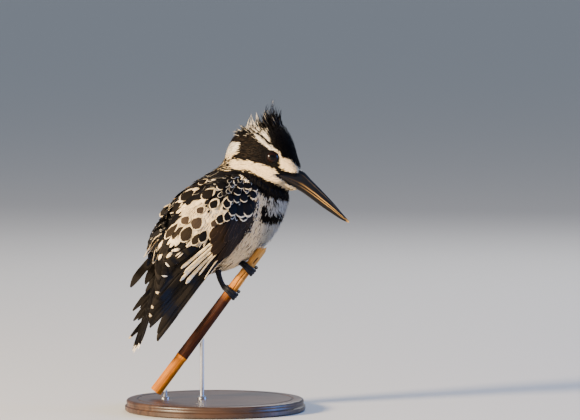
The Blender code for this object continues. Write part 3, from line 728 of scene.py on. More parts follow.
grey = mixed(GREY_STREAK, WHITE, rng.random((LOOSE_STRANDS, 1)))
crest.grow(middle, facing, STRAND_STOPS, rng.uniform(0.7, 1.5, LOOSE_STRANDS), np.where(dark, BLACK, grey),
           width=strand_width, thickness_mm=0.3, roll_deg=30, bend=0.05)
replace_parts(crest.joined(head_finish), "crest")

# --- The wings' guide surfaces ----------------------------------------------------------------
# Each folded wing is a stack of sheets: primaries next to the body, secondaries over them, coverts
# on top. The feathers of each sheet lie on a smooth surface read from the solids beneath them.

WING_HUB = (9.0, 219.0)  # every feather of a folded wing points away from here, in the trunk's plane
COVERT_OUTLINE = [
    (4, 200), (12, 192), (16, 180), (14, 165), (6, 148), (-6, 131), (-17, 124), (-26, 130), (-36, 131),
    (-48, 126), (-58, 122), (-66, 128), (-64, 145), (-55, 160), (-38, 180), (-16, 197),
]
RAY_START_MM, RAY_LENGTH = 80.0, 0.13
CARRIED_ON = 160  # how often the known heights are spread one step on over the unknown


class Guide:
    """A smooth surface over a plane, read by rays from outside it and carried on past its rim.

    ways are the plane's two directions and the one that faces out of it.
    """

    def __init__(self, meshes, origin, ways, a_mm, b_mm, soften):
        bm = bmesh.new()
        for mesh in meshes:
            bm.from_mesh(mesh)
        tree = BVHTree.FromBMesh(bm)
        bm.free()
        self.origin, self.ways = origin, np.array(ways, float)
        self.a, self.b, self.out = self.ways
        self.low = (a_mm[0], b_mm[0])
        self.shape = (int(a_mm[1] - a_mm[0]) + 1, int(b_mm[1] - b_mm[0]) + 1)
        height = np.full(self.shape, np.nan)
        for i in range(self.shape[0]):
            for j in range(self.shape[1]):
                start = self.point(self.low[0] + i, self.low[1] + j, RAY_START_MM)
                hit = tree.ray_cast(Vector(start), Vector(-self.out), RAY_LENGTH)[3]
                if hit is not None:
                    height[i, j] = RAY_START_MM - hit * 1000
        known = ~np.isnan(height)
        filled = np.where(known, height, np.nanmean(height))
        for _ in range(CARRIED_ON):
            filled = np.where(known, height, self.blurred(filled))
        for _ in range(soften):
            filled = self.blurred(filled)
        self.height = filled

    @staticmethod
    def blurred(grid):
        wide = np.pad(grid, 1, mode="edge")
        return (wide[:-2, 1:-1] + wide[2:, 1:-1] + wide[1:-1, :-2] + wide[1:-1, 2:] + grid) / 5

    def point(self, a, b, height):
        return placed(self.origin, self.ways, a, b, height)

    def on(self, a, b):
        return self.point(a, b, self.at(a, b))

    def between_rays(self, a, b):
        """Height over the plane, bilinear between the rays."""
        x = np.clip(a - self.low[0], 0, self.shape[0] - 1.001)
        y = np.clip(b - self.low[1], 0, self.shape[1] - 1.001)
        i, j = x.astype(int), y.astype(int)
        p, q = x - i, y - j
        h = self.height
        return (h[i, j] * (1 - p) * (1 - q) + h[i + 1, j] * p * (1 - q) + h[i, j + 1] * (1 - p) * q
                + h[i + 1, j + 1] * p * q)

    def at(self, a, b):
        """Height over the plane, evened out over a small square so that the slope runs on smoothly."""
        return sum(self.between_rays(a + i, b + j) for i in (-1.0, -0.33, 0.33, 1.0)
                   for j in (-1.0, -0.33, 0.33, 1.0)) / 16

    def __call__(self, points):
        """The surface's points straight under or over these, and its normals."""
        away = (np.asarray(points) - self.origin) * 1000
        a, b = away @ self.a, away @ self.b
        slope_a = (self.at(a + 1.5, b) - self.at(a - 1.5, b)) / 3
        slope_b = (self.at(a, b + 1.5) - self.at(a, b - 1.5)) / 3
        normals = unit(self.out - slope_a[:, None] * self.a - slope_b[:, None] * self.b)
        return self.on(a, b), normals


def wing_flow(points):
    s, _, z = trunk_plane(points).T
    return out_of_plane(unit(np.stack([s - WING_HUB[0], z - WING_HUB[1]], axis=1)), TRUNK_WAYS)


covert_guide = {
    side: Guide([skin_mesh, node_mesh(f"wing_{side}_secondaries"), node_mesh(f"wing_{side}_primaries")],
                from_trunk_plane(0.0, 0.0, 0.0), (TRUNK_WAYS[0], UP, TRUNK_WAYS[1] * sign),
                a_mm=(-105, 30), b_mm=(35, 215), soften=10)
    for side, sign in SIDES.items()
}

# --- The flight feathers ----------------------------------------------------------------------
# Eight long primaries fold under eight secondaries on each wing. Each is a stiff narrow vane on a
# dark shaft, narrow ahead of the shaft and broad behind it, and lies over the feather in front.

PRIMARY_ROOTS = [
    (-12, 129), (-12, 131.5), (-12.3, 134), (-12.8, 137), (-13.6, 140), (-15.5, 143.5), (-17.8, 146.5),
    (-20, 149.5),
]
PRIMARY_TIPS = {  # leading feather first, in the trunk's plane
    "right": [(-66.8, 60.5), (-66.8, 63), (-66.6, 67), (-73.6, 72), (-74, 75.5), (-73.5, 81), (-71.5, 88),
              (-68.5, 96)],
    "left": [(-74, 72), (-84.2, 60.5), (-77, 76), (-80.8, 75.5), (-75, 86), (-81.3, 84), (-72, 95),
             (-70, 100)],
}
SECONDARY_ROOTS = [(-34 - 3.6 * k, 149 + 0.4 * k) for k in range(8)]
SECONDARY_TIPS = {
    "right": [(-67, 100), (-66, 104), (-66.3, 108), (-66, 112), (-65.5, 116), (-63.5, 119.5), (-61, 122.5),
              (-63.5, 127)],
    "left": [(-66, 100), (-70, 106), (-82.5, 103.5), (-67, 114), (-66, 119), (-65.5, 124), (-66, 129),
             (-65, 136)],
}
FLIGHT_STOPS = (0, 0.08, 0.2, 0.3, 0.38, 0.46, 0.54, 0.62, 0.7, 0.78, 0.86, 0.92, 0.97, 1)
FEATHER_STEP_MM = 0.15  # how far each feather of a folded fan lies over the one before it
SHAFT_PROUD = 0.0002
WORN_FLIGHTS, WORN_TONE = (1, 3, 6), 1.9  # a few paler, older feathers on the right wing
FLIGHT_DARK = np.array((0.0145, 0.0118, 0.0095))
SHAFT_TINT = np.array((0.006, 0.005, 0.004))


def grid_cells(n, some=slice(None)):
    """The bake map cut into one cell for each of n large feathers: the lowest corners and sizes of some."""
    side = math.ceil(math.sqrt(n))
    index = np.arange(n)
    low = np.stack([index % side, index // side], axis=1) / side + 0.08 / side
    return low[some], np.full((n, 2), 0.84 / side)[some]


def flight_width(t):
    return np.clip(t / 0.12, 0.4, 1) ** 0.5 * np.clip((1 - t) / 0.16, 0.04, 1) ** 0.5


def shaft_width(t):
    return 1.0 - 0.8 * t


def lay_shafts(name, middle, normals, across_mm):
    """The dark shafts down the middle of a fan of feathers, as one piece."""
    shafts = Coat(name)
    shafts.grow(middle + normals * SHAFT_PROUD, normals, FLIGHT_STOPS, across_mm, SHAFT_TINT, around=4,
                roll_deg=0, bend=0, width=shaft_width, thickness_mm=across_mm, patch=grid_cells(len(middle)))
    shafts.joined(shaft_finish)


def fan_lines(guide, roots, tips, lift_mm, bow_mm=0.0, step_mm=FEATHER_STEP_MM):
    """The shafts of a fan of feathers on its guide surface: points and normals (n, stops, 3)."""
    n = len(tips)
    start, end = np.array(roots, float), np.array(tips, float)
    t = np.array(FLIGHT_STOPS)[None, :, None]
    aside = unit(np.stack([-(end - start)[:, 1], (end - start)[:, 0]], axis=1))[:, None]
    flat = start[:, None] * (1 - t) + end[:, None] * t + aside * bow_mm * 4 * t * (1 - t)
    height = guide.at(flat[..., 0], flat[..., 1]) + lift_mm + step_mm * np.arange(n)[:, None]
    points = guide.point(flat[..., 0], flat[..., 1], height)
    normals = guide(points.reshape(-1, 3))[1].reshape(points.shape)
    return points, normals


def primary_marks(sign, i):
    """A thin pale leading edge on the outer primaries, and here and there a white tip."""
    tipped = i in (5, 6) if sign < 0 else i == 1

    def mark(across, along, half, length):
        lead = across * -sign
        edge = np.minimum((lead - 0.92) * half, (0.7 - along) * length) if i < 4 else -1.0
        return np.maximum(edge, (along - 0.975) * length) if tipped else edge
    return mark


def secondary_marks(sign, i):
    """A small white tip on the lowest."""
    def mark(across, along, half, length):
        return (along - 0.97 + 0.012 * across) * length if i == 0 else -1.0
    return mark


flight_finish = plumage("flight_feathers", 0.62, streak=0.12, relief=0.3, ragged_mm=0.12, grain=0.45)
shaft_finish = plumage("feather_shafts", 0.3, streak=0.05, relief=0.1)
for side, sign in SIDES.items():
    for sheet, tip_lists, root_lists, marks, broad, bow, lift in (
        ("primaries", PRIMARY_TIPS, PRIMARY_ROOTS, primary_marks, 8.0 if sign < 0 else 5.8, 0.0, -0.9),
        ("secondaries", SECONDARY_TIPS, SECONDARY_ROOTS, secondary_marks, 9.5 if sign < 0 else 6.6, -1.0,
         0.5),
    ):
        middle, normals = fan_lines(covert_guide[side], root_lists, tip_lists[side], lift, bow)
        coat = Coat(f"wing_{side}_{sheet}_vanes")
        for i in range(len(middle)):
            one = slice(i, i + 1)
            tone = rng.normal(1, 0.12) * (WORN_TONE if sign < 0 and i in WORN_FLIGHTS else 1.0)
            coat.grow(middle[one], normals[one], FLIGHT_STOPS, broad, FLIGHT_DARK * tone, around=12,
                      roll_deg=1.0, bend=0.0, skew=(0.85 if i == 0 else 0.5) * sign, width=flight_width,
                      thickness_mm=0.3, droop=0.08, second=CREAM, mark=marks(sign, i),
                      patch=grid_cells(len(middle), one))
        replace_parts(coat.joined(flight_finish), f"wing_{side}_{sheet}")
        lay_shafts(f"wing_{side}_{sheet}_shafts", middle, normals, 0.6)

# --- The pale webs and loose feathers ---------------------------------------------------------
# The primaries' outer webs are cream at the base, and show as stripes below the brown coverts.
# Round the tips of the secondaries single ruffled feathers stand apart, some white, some tipped.

BARS = [  # the cream bases of the primaries' outer webs: root, tip and width
    ((-20.0, 147.6), (-47.4, 121.5), 3.2), ((-20.5, 143.6), (-44.5, 117.2), 3.2),
    ((-19.5, 140.6), (-47.7, 110.8), 2.8), ((-19.2, 137.2), (-42.4, 108.4), 3.5),
    ((-18.5, 136.0), (-31.3, 115.2), 1.6), ((-14.5, 134.5), (-26.4, 111.9), 1.0),
    ((-11.0, 130.2), (-21.2, 116.5), 0.8),
]
LOOSE = [  # single feathers about the tips of the secondaries: root, tip, width and kind
    ((-38.4, 140.0), (-60.3, 124.5), 9.0, "tipped"), ((-60.7, 127.1), (-61.8, 114.5), 5.5, "tipped"),
    ((-72.8, 135.5), (-76.8, 123.2), 3.4, "dark"), ((-66.4, 139.0), (-71.1, 125.5), 3.6, "lined"),
    ((-59.2, 152.6), (-80.2, 131.7), 3.8, "grey"), ((-59.4, 151.9), (-75.8, 137.3), 3.2, "lined"),
    ((-59.5, 149.1), (-67.8, 135.2), 4.0, "pale"), ((-56.5, 151.0), (-64.0, 139.0), 3.6, "pale"),
    ((-53.0, 151.0), (-61.0, 141.5), 3.4, "pale"), ((-49.5, 149.5), (-54.5, 140.5), 3.8, "pale"),
    ((-60.9, 143.9), (-66.0, 134.6), 2.4, "dark"), ((-58.0, 143.0), (-60.9, 136.6), 2.4, "dark"),
    ((-51.5, 150.0), (-58.5, 139.5), 3.6, "pale"), ((-64.0, 135.5), (-66.9, 128.7), 2.6, "pale"),
    ((-50.4, 138.3), (-57.3, 136.5), 2.4, "pale"), ((-56.5, 135.7), (-60.9, 130.6), 2.6, "pale"),
    ((-49.5, 135.7), (-54.0, 132.3), 1.0, "pale"), ((-47.8, 134.9), (-52.3, 130.6), 1.0, "pale"),
    ((-56.9, 158.3), (-72.4, 151.8), 3.0, "tipped"), ((-54.5, 164.8), (-69.7, 157.1), 4.6, "tipped"),
]
LOOSE_KINDS = {  # tint, second colour, depth of a white tip and of a pale fringe
    "tipped": (FLIGHT_DARK, WHITE, 1.5, 0), "dark": (FLIGHT_DARK, CREAM, 0, 0),
    "lined": (FLIGHT_DARK, CREAM, 1.6, 0.5), "grey": ((0.10, 0.075, 0.055), CREAM, 2.0, 0.8),
    "pale": (CREAM, CREAM, 0, 0),
}
TIGHT_FOLD_MM = -68


def bar_width(t):
    return np.clip(0.55 + 0.9 * t, 0, 1) * np.clip((1 - t) / 0.05, 0.3, 1)


def pointed_width(t):
    return np.clip(t / 0.2, 0.4, 1) ** 0.7 * np.clip((1 - t) / 0.35, 0.03, 1) ** 0.55


def loose_marks(tip_mm, fringe_mm):
    def mark(across, along, half, length):
        edge = fringe_mm - np.minimum((1 - np.abs(across)) * half, (1 - along) * length)
        return np.maximum(tip_mm - (1 - along) * length - np.abs(across) * half * 0.15,
                          edge if fringe_mm else -1.0)
    return mark


bar_finish = plumage("pale_webs", 0.6, streak=0.06, relief=0.4, ragged_mm=0.1, root_shade=0.9, grain=0.10)
for side, sign in SIDES.items():
    roots, tips, broad = zip(*BARS)
    middle, normals = fan_lines(covert_guide[side], roots, tips, 1.1, step_mm=0.03)
    coat = Coat(f"wing_{side}_pale_webs")
    coat.grow(middle, normals, FLIGHT_STOPS, np.array(broad), CREAM, around=8, roll_deg=2, bend=0.0,
              width=bar_width, thickness_mm=0.2, droop=0.2, patch=grid_cells(len(BARS)))
    coat.joined(bar_finish)

    roots, tips, broad, kinds = zip(*LOOSE)
    middle, normals = fan_lines(covert_guide[side], roots, tips, 1.6 + 0.8 * np.array(FLIGHT_STOPS),
                                step_mm=0.05)
    coat = Coat(f"wing_{side}_loose_feathers")
    for i, kind in enumerate(kinds):
        if sign > 0 and tips[i][0] < TIGHT_FOLD_MM:
            continue  # the left wing is folded tighter
        one = slice(i, i + 1)
        tint, second, tip_mm, fringe_mm = LOOSE_KINDS[kind]
        coat.grow(middle[one], normals[one], FLIGHT_STOPS, broad[i], np.array(tint) * rng.normal(1, 0.1),
                  around=12, roll_deg=4, bend=0.02, width=bar_width if broad[i] > 5 else pointed_width,
                  thickness_mm=0.2, droop=0.1, second=second, mark=loose_marks(tip_mm, fringe_mm),
                  patch=grid_cells(len(LOOSE), one))
    coat.joined(flight_finish)

# --- The wing coverts -------------------------------------------------------------------------
# Rows of rounded feathers fan out from the shoulder: small black scales fringed with white at the
# bend of the wing, then larger drops of black on cream, and long plain brown ones at its lower edge.

COVERT_STOPS = (0, 0.22, 0.42, 0.58, 0.72, 0.84, 0.93, 1)
LARGE_STOPS = (0, 0.12, 0.22, 0.32, 0.42, 0.5, 0.58, 0.66, 0.74, 0.81, 0.87, 0.92, 0.96, 1)
FIRST_ROW, LAST_ROW = 13.0, 112.0  # mm from the hub
FAN_TURNS = (-0.15, 1.3)  # the rows' first and last turn in radians, from straight down to the rear
COVERT_OVERLAP = 2.7  # how many rows each small covert covers
BROWN = np.array((0.036, 0.021, 0.011))
# a drop's middle in the trunk's plane, its length and width, and its kind; each lies over those before it
DROPS = [
    (-56.3, 153.5, 20, 8.5, "dark"), (-51.5, 151.6, 17.5, 7.6, "dark"), (-45.4, 151.7, 19, 9.7, "dark"),
    (-37.5, 146.7, 14, 6.2, "dark"), (-31.8, 149.2, 13.5, 7.2, "night"), (-45.2, 161.9, 11.5, 7.8, "oval"),
    (-35.8, 159.2, 15.5, 10.2, "oval"), (-32.8, 169.9, 10, 6.6, "oval"), (-26.5, 169.1, 5.0, 2.4, "drop"),
    (-28.1, 173.6, 4.0, 2.6, "drop"), (-22.6, 159.9, 10.5, 5.6, "oval"), (-17.9, 163.4, 10.5, 7.4, "drop"),
    (-12.2, 165.7, 11.5, 6.8, "drop"), (-56.5, 169.0, 14, 5.5, "hind"), (-49.4, 172.6, 18, 8.0, "hind"),
    (-39.1, 181.8, 18, 9.5, "hind"), (-24.8, 182.1, 15, 9.0, "hind"), (-25.5, 191.6, 10, 6.0, "hind"),
    (-21.7, 174.8, 11.5, 7.6, "drop"), (-12.2, 176.0, 11, 7.2, "drop"), (3.2, 166.0, 14, 9.0, "open"),
    (-7.9, 169.7, 12, 7.4, "open"), (-0.5, 169.5, 15, 11, "open"), (7.7, 170.9, 18, 9.6, "open"),
    (-8.1, 179.2, 8.5, 6.0, "open"), (-3.5, 179.1, 9, 6.6, "open"), (2.9, 179.8, 9.5, 7.2, "open"),
    (11.0, 181.7, 8.5, 6.4, "open"), (-2.7, 184.4, 8, 7.0, "open"), (-14.3, 187.9, 10, 6.6, "open"),
    (12.8, 187.0, 7, 5.8, "open"), (7.3, 188.4, 7.5, 6.6, "open"), (0.9, 188.9, 7, 6.0, "open"),
    (-32.0, 186.0, 6, 5.0, "plain"), (-43.9, 177.2, 6.5, 4.2, "plain"), (-17.8, 193.3, 4.0, 3.2, "plain"),
]
WHITE_ZONE = [
    (-50.6, 167.4), (-44.1, 174.0), (-36.0, 178.6), (-28.9, 178.8), (-27.9, 173.9), (-22.5, 170.6),
    (-15.8, 173.9), (-10.9, 168.9), (-12.8, 161.5), (-19.5, 154.9), (-27.8, 145.7), (-31, 142),
    (-37.3, 141.0), (-48.7, 145.2), (-57.9, 142.6), (-63.9, 142.7), (-60.1, 148.7), (-58.5, 155.0),
    (-51.8, 161.2), (-47.4, 165.4),
]
# The brown feathers and the stripes below the shoulder leave no room for small coverts.
BLOCK_ZONE = [(-23, 153), (-7.5, 162), (11, 162), (10, 148), (-1, 134), (-16, 120), (-28, 128), (-27, 142)]
BAR_ZONE = [(-31, 143), (-20, 151), (-12, 145), (-12, 125), (-40, 102), (-54, 116), (-48, 125)]
HEM = ([-70, -62, -56, -50, -40, -34, -26, -18, 0],  # the lowest that the small coverts reach
       [174, 172, 166, 155, 153, 153, 157, 160, 162])
STRAPS = np.array([  # the brown feathers of the lower edge: each one's tip and its length
    (6.8, 157.9, 16), (4.2, 151.0, 22), (1.4, 145.2, 28), (-2.6, 140.6, 32), (-6.8, 136.6, 36),
    (-10.6, 133.0, 38), (-14.5, 130.2, 38), (-18.4, 130.0, 36), (-22.3, 131.8, 34), (-24.2, 136.4, 30),
    (-25.0, 141.8, 25), (-25.6, 147.4, 20),
])
STRAP_WAY = (-0.51, -0.86)


def strap_flow(points):
    return np.broadcast_to(STRAP_WAY[0] * TRUNK_WAYS[0] + STRAP_WAY[1] * UP, points.shape)


def covert_width(t):
    rounded = 1 - (np.clip(t - 0.62, 0, 1) / 0.385) ** 2
    return np.clip(t / 0.35, 0.3, 1) ** 0.7 * np.sqrt(np.clip(rounded, 0.01, 1))


def fringed(fringe_mm):
    def mark(across, along, half, length):
        return np.minimum((1 - np.abs(across)) * half, (1 - along) * length) - fringe_mm
    return mark


def drop_marked(middle, long, wide):
    """A drop of the second colour: its middle and half length along the feather, and its half width."""
    lean = rng.uniform(-0.12, 0.12)

    def mark(across, along, half, length):
        taper = wide * (0.72 + 0.5 * smooth_step(middle - long, middle + long * 0.6, along))
        return (1 - np.hypot((along - middle) / long, (across + lean) / taper)) * 2.5
    return mark


def open_marked(middle, long, wide):
    """The second colour from the root to a rounded end, inside a thin border."""
    def mark(across, along, half, length):
        past = np.clip(along - middle, 0, 1) / long
        return (1 - np.hypot(past, across / wide)) * 2.5
    return mark


def covert_rows():
    """Staggered roots in arcs round the hub, with each one's spacing along and across its row."""
    roots, spans, widths = [], [], []
    radius, row = FIRST_ROW, 0
    while radius < LAST_ROW:
        exposed = float(np.interp(radius, [13, 38, 50, 70, 100], [2.4, 2.9, 3.8, 5.2, 6.0]))
        wide = float(np.interp(radius, [13, 38, 50, 70, 100], [3.0, 4.3, 5.4, 6.4, 7.0]))
        step = wide * 0.74 / radius
        for turn in np.arange(FAN_TURNS[0] + (row % 2) * step / 2, FAN_TURNS[1], step):
            roots.append((WING_HUB[0] - radius * math.sin(turn), WING_HUB[1] - radius * math.cos(turn)))
            spans.append(exposed)
            widths.append(wide)
        radius += exposed
        row += 1
    roots = np.array(roots) + rng.normal(0, 0.4, (len(roots), 2))
    s, z = roots.T
    keep = inside(COVERT_OUTLINE, s - 1.0, z - 2.0) & (z > np.interp(s, *HEM)) & ~inside(BLOCK_ZONE, s, z - 4)
    far = roots + unit(roots - WING_HUB) * np.array(spans)[:, None] * 2.5
    keep &= ~inside(BLOCK_ZONE, *far.T) & ~inside(BAR_ZONE, *far.T)
    return roots[keep], np.array(spans)[keep], np.array(widths)[keep]


covert_finish = plumage("covert_feathers", 0.62, streak=0.12, relief=0.2, ragged_mm=0.4, grain=0.4)
silk_finish = plumage("silky_coverts", 0.6, streak=0.08, relief=0.3, root_shade=0.85)
SILK_SPACING_MM, SILK_SQUARE_MM, SILK_CORNER = 1.25, 70, (-72.0, 132.0)
KINDS = {  # the colour of the mark on a large cream covert, its middle, half length and half width
    "drop": (BLACK, 0.58, 0.40, 0.84), "oval": ((0.040, 0.027, 0.018), 0.60, 0.37, 0.86),
    "dark": ((0.019, 0.013, 0.008), 0.57, 0.40, 0.90), "open": (BLACK, 0.62, 0.31, 1.12),
    "night": (BLACK, 0.57, 0.40, 0.90), "hind": ((0.008, 0.006, 0.0045), 0.56, 0.42, 1.0),
    "plain": (CREAM, 0.5, 0.3, 0.5),
}
for side, sign in SIDES.items():
    guide = covert_guide[side]
    spots, spans, widths = covert_rows()
    n = len(spots)
    s, z = spots.T
    away = unit(spots - WING_HUB)
    long = spans * COVERT_OVERLAP * rng.uniform(0.9, 1.15, n)
    white = inside(WHITE_ZONE, *(spots + away * long[:, None] * 0.75).T)[:, None]
    mantle = (s < -8) | (z > 200)
    rim_share = np.where(mantle, rng.choice([0.0, 0.0, 0.03, 0.10, 0.7], n), rng.uniform(0.3, 1.0, n))
    ink = BLACK * rng.normal(1.3, 0.25, (n, 1))
    silk = CREAM * rng.normal(1, 0.05, (n, 1))
    hind = (s < -24) & ~white[:, 0]
    rim_share = np.where(hind, rng.choice([0.0, 0.0, 0.0, 0.02, 0.25], n), rim_share)[:, None]
    widths, long = np.where(hind, 1.7, 1.0) * widths, np.where(hind, 1.4, 1.0) * long
    inner = np.where(white, silk, ink)
    rim = np.where(white, silk, mixed(ink, WHITE, rim_share))
    coat = Coat(f"coat_wing_{side}_small_coverts")
    coat.lay(guide.on(s, z), wing_flow, long, widths * rng.uniform(0.72, 1.12, n), rim,
             stops=COVERT_STOPS, around=8, lift_mm=(0.1, np.where(white[:, 0], 1.1, 1.5)), guide=guide,
             width=covert_width, thickness_mm=0.2, second=inner, mark=fringed(0.38), patch=grid_cells(n),
             roll_deg=5, bend=0.05, stray_deg=10)
    coat.joined(covert_finish, faceted=True)

    count = int(SILK_SQUARE_MM / SILK_SPACING_MM)
    s, z = (np.stack(np.meshgrid(np.arange(count), np.arange(count)), axis=-1).reshape(-1, 2)
            + rng.uniform(-0.5, 0.5, (count * count, 2))).T * SILK_SPACING_MM + np.array(SILK_CORNER)[:, None]
    away = unit(np.stack([s, z], axis=1) - WING_HUB).T
    kept = np.logical_and.reduce([inside(WHITE_ZONE, s + away[0] * far, z + away[1] * far)
                                  for far in (rng.uniform(1.0, 3.0, s.shape),
                                              rng.uniform(6.5, 8.0, s.shape))])
    s, z = s[kept], z[kept]
    n = len(s)
    grey = (rng.random((n, 1)) < 0.06) * rng.random((n, 1))
    coat = Coat(f"coat_wing_{side}_silk")
    coat.lay(guide.on(s, z), wing_flow, rng.uniform(7.0, 10, n), rng.uniform(1.4, 2.4, n),
             mixed(CREAM, GREY_STREAK, grey) * rng.normal(1.04, 0.05, (n, 1)),
             stops=(0, 0.3, 0.6, 0.85, 1), around=5, lift_mm=(0.3, rng.uniform(0.7, 1.3, n)), guide=guide,
             thickness_mm=0.1, roll_deg=6, bend=0.05, stray_deg=8)
    coat.joined(silk_finish)

    coat = Coat(f"coat_wing_{side}_lower_coverts")
    ends = np.concatenate([STRAPS[:, :2], STRAPS[:8, :2] + (3.0, 14.0)])
    long = np.concatenate([STRAPS[:, 2], STRAPS[:8, 2] * 0.6])
    n = len(ends)
    s, z = ends.T - np.array(STRAP_WAY)[:, None] * long
    tone = rng.normal(1, 0.15, (n, 1))
    coat.lay(guide.on(s, z), strap_flow, long * rng.uniform(0.96, 1.04, n), 5.4,
             BROWN * 2.5 * tone, stops=LARGE_STOPS, around=8,
             lift_mm=(0.9, 1.7 + 0.05 * np.arange(n)), guide=guide, width=flight_width, thickness_mm=0.2,
             second=BROWN * 0.55 * tone, mark=fringed(0.18), patch=grid_cells(n), roll_deg=2, bend=0.01,
             stray_deg=2, droop=0.05)
    coat.joined(covert_finish, faceted=True)

    coat = Coat(f"coat_wing_{side}_large_coverts")
    for k, (s, z, long, broad, kind) in enumerate(DROPS):
        colour, middle, half_long, half_wide = KINDS[kind]
        away = np.array((s, z)) - WING_HUB
        root = np.array((s, z)) - away / np.hypot(*away) * long * middle
        coat.lay(guide.on(root[:1], root[1:]), wing_flow, long, broad, CREAM, stops=LARGE_STOPS, around=12,
                 lift_mm=(0.2, 2.3 + 0.02 * k), rise=0.5, guide=guide,
                 width=pointed_width if kind == "plain" else covert_width, thickness_mm=0.14,
                 second=np.array(colour) * rng.normal(1, 0.1),
                 mark=(open_marked if kind == "open" else drop_marked)(middle, half_long, half_wide),
                 patch=grid_cells(len(DROPS), slice(k, k + 1)), roll_deg=3, bend=0.02, stray_deg=3,
                 droop=0.06)
    coat.joined(covert_finish, faceted=True)

# --- The coat of the breast, belly and back ---------------------------------------------------
# Dense soft feathers: a broad black breast band, a broken second band under it, then a long silky
# cream belly streaked with grey brown. The strip of back between the wings is black and scaled.

TRUNK_LIE = [
    ((45, 170), (-0.35, -0.94)), ((30, 188), (-0.45, -0.9)), ((20, 135), (-0.6, -0.8)),
    ((-5, 120), (-0.85, -0.5)), ((-40, 118), (-0.8, -0.6)), ((-30, 188), (-0.8, -0.6)),
    ((-5, 205), (-0.85, -0.5)), ((-65, 150), (-0.4, -0.9)), ((0, 150), (-0.6, -0.8)),
    ((15, 165), (-0.4, -0.9)),
]


def trunk_flow(points):
    own = trunk_plane(points)
    return out_of_plane(lie_from(TRUNK_LIE, own[:, 0], own[:, 2]), TRUNK_WAYS)


def wing_covered(points):
    s, y, z = trunk_plane(points).T
    return inside(COVERT_OUTLINE, s, z) & (np.abs(y) > 9)


def back_part(points):
    s, _, z = trunk_plane(points).T
    return z > np.interp(s, [-80, -66, -38, -16, 4, 12], [128, 132, 168, 186, 196, 214])


def breast_black(s, y, z):
    """The breast band, and the broken band and spots under it."""
    band = z > np.interp(s, [4, 10, 16, 21, 27, 46], [197, 192, 186, 182.5, 180, 177])
    second = (z > 159.5 + np.sin(y * 0.9)) & (z < 166.5 + np.sin(y * 0.6 + s)) & (s > 24)
    second |= (s > 20) & (s < 25.5) & (z > 160) & (z < 174) & (np.abs(y) > 12)
    spots = np.hypot((s - 26.5) / 1.4, (z - 179) / 3.4) < 1
    spots |= np.hypot((s - 33) / 1.6, (z - 176) / 3.4) < 1
    return band | second | spots


def belly_part(points):
    return ~on_head(points) & ~wing_covered(points) & ~back_part(points) & ~bare(points)


def belly_spacing(points):
    s, _, z = trunk_plane(points).T
    return 0.62 + 0.16 * smooth_step(178, 150, z)


body_finish = plumage("body_feathers", 0.6, root_shade=0.8)
GREY_BROWN = np.array((0.16, 0.115, 0.085))
# painted light: the belly is tinted warmer as if sunlit, and the breast's front darker and bluer as painted
# shade
PAINTED_SUNLIGHT, PAINTED_FRONT_SHADE = np.array((1.16, 1.10, 1.02)), np.array((0.62, 0.48, 0.26))  # the breast's front is cooler
CHIN_FEATHERS, BACK_SPACING_MM = 420, 2.8
for side, sign in SIDES.items():
    def wanted(points):
        return belly_part(points) & (trunk_plane(points)[:, 1] * sign > 0)

    roots = scattered_roots(wanted, belly_spacing)
    n = len(roots)
    s, y, z = trunk_plane(roots).T
    long = np.interp(z, [110, 150, 175, 200], [13.0, 10.0, 6.5, 5.0]) * rng.uniform(0.8, 1.2, n)
    lie = lie_from(TRUNK_LIE, s, z) * long[:, None] * 0.6
    dark = breast_black(*(np.stack([s + lie[:, 0], y, z + lie[:, 1]]) + rng.normal(0, 0.7, (3, n))))
    dark |= rng.random(n) < 0.06 * (z > 169)
    streaky = rng.random(n) < np.where(z < 178, 0.10, 0.14)
    tint = np.where(dark[:, None], BLACK, np.where(streaky[:, None], GREY_BROWN, WHITE))
    tint = tint * rng.normal(1, 0.06, (n, 1))
    # painted shade on the breast's front, painted sunlight on the rest of the pale belly
    front_shade_share = smooth_step(18, 32, s)[:, None] * ~dark[:, None]
    tint = tint * (PAINTED_SUNLIGHT - front_shade_share * PAINTED_FRONT_SHADE)
    broad = np.interp(z, [110, 150, 175, 200], [1.3, 1.4, 1.6, 1.6])
    front = smooth_step(26, 40, s) * smooth_step(130, 150, z)
    thigh = smooth_step(-20, -14, s) * smooth_step(4, -4, s) * smooth_step(138, 130, z)
    tint = np.where((rng.random(n) < 0.6 * thigh)[:, None], GREY_BROWN * 0.4, tint)
    tips = (np.interp(z, [110, 150, 175, 200], [2.2, 1.7, 1.5, 1.4]) + 1.8 * front) * rng.uniform(0.7, 1.2, n)
    coat = Coat(f"coat_belly_{side}")
    coat.lay(roots, trunk_flow, long, broad, tint, lift_mm=(0.15, tips), roll_deg=5, thickness_mm=0.08)
    coat.joined(body_finish)


n = CHIN_FEATHERS
u, turn = rng.uniform(9.5, 21.5, n), rng.uniform(-1.45, 1.45, n)
deep = np.interp(u, [9, 15, 22], [5.0, 4.0, 2.0])
chin_root = from_head_plane(u, np.interp(u, [9, 15, 22], [9.5, 8.0, 5.0]) * np.sin(turn),
                            np.interp(u, [9, 15, 22], [-24.2, -26.0, -27.4]) + deep * (1 - np.cos(turn)))
outward = np.sin(turn)[:, None] * HEAD_WAYS[1] - np.cos(turn)[:, None] * UP
t = np.array((0, 0.35, 0.7, 1))[None, :, None]
back_along = HEAD_WAYS[0] * -0.95 + np.array((0, 0, 0.05)) + rng.normal(0, 0.06, (n, 3))
chin_long = rng.uniform(4.0, 6.0, n)[:, None, None] / 1000
middle = chin_root[:, None] + back_along[:, None] * chin_long * t + outward[:, None] * 0.0006 * t
coat = Coat("coat_chin")
coat.grow(middle, np.broadcast_to(outward[:, None], middle.shape), t.ravel(), 1.3,
          CREAM * rng.normal(1, 0.06, (n, 1)), thickness_mm=0.1)
coat.joined(body_finish)


def back_wanted(points):
    return back_part(points) & ~on_head(points) & ~wing_covered(points)


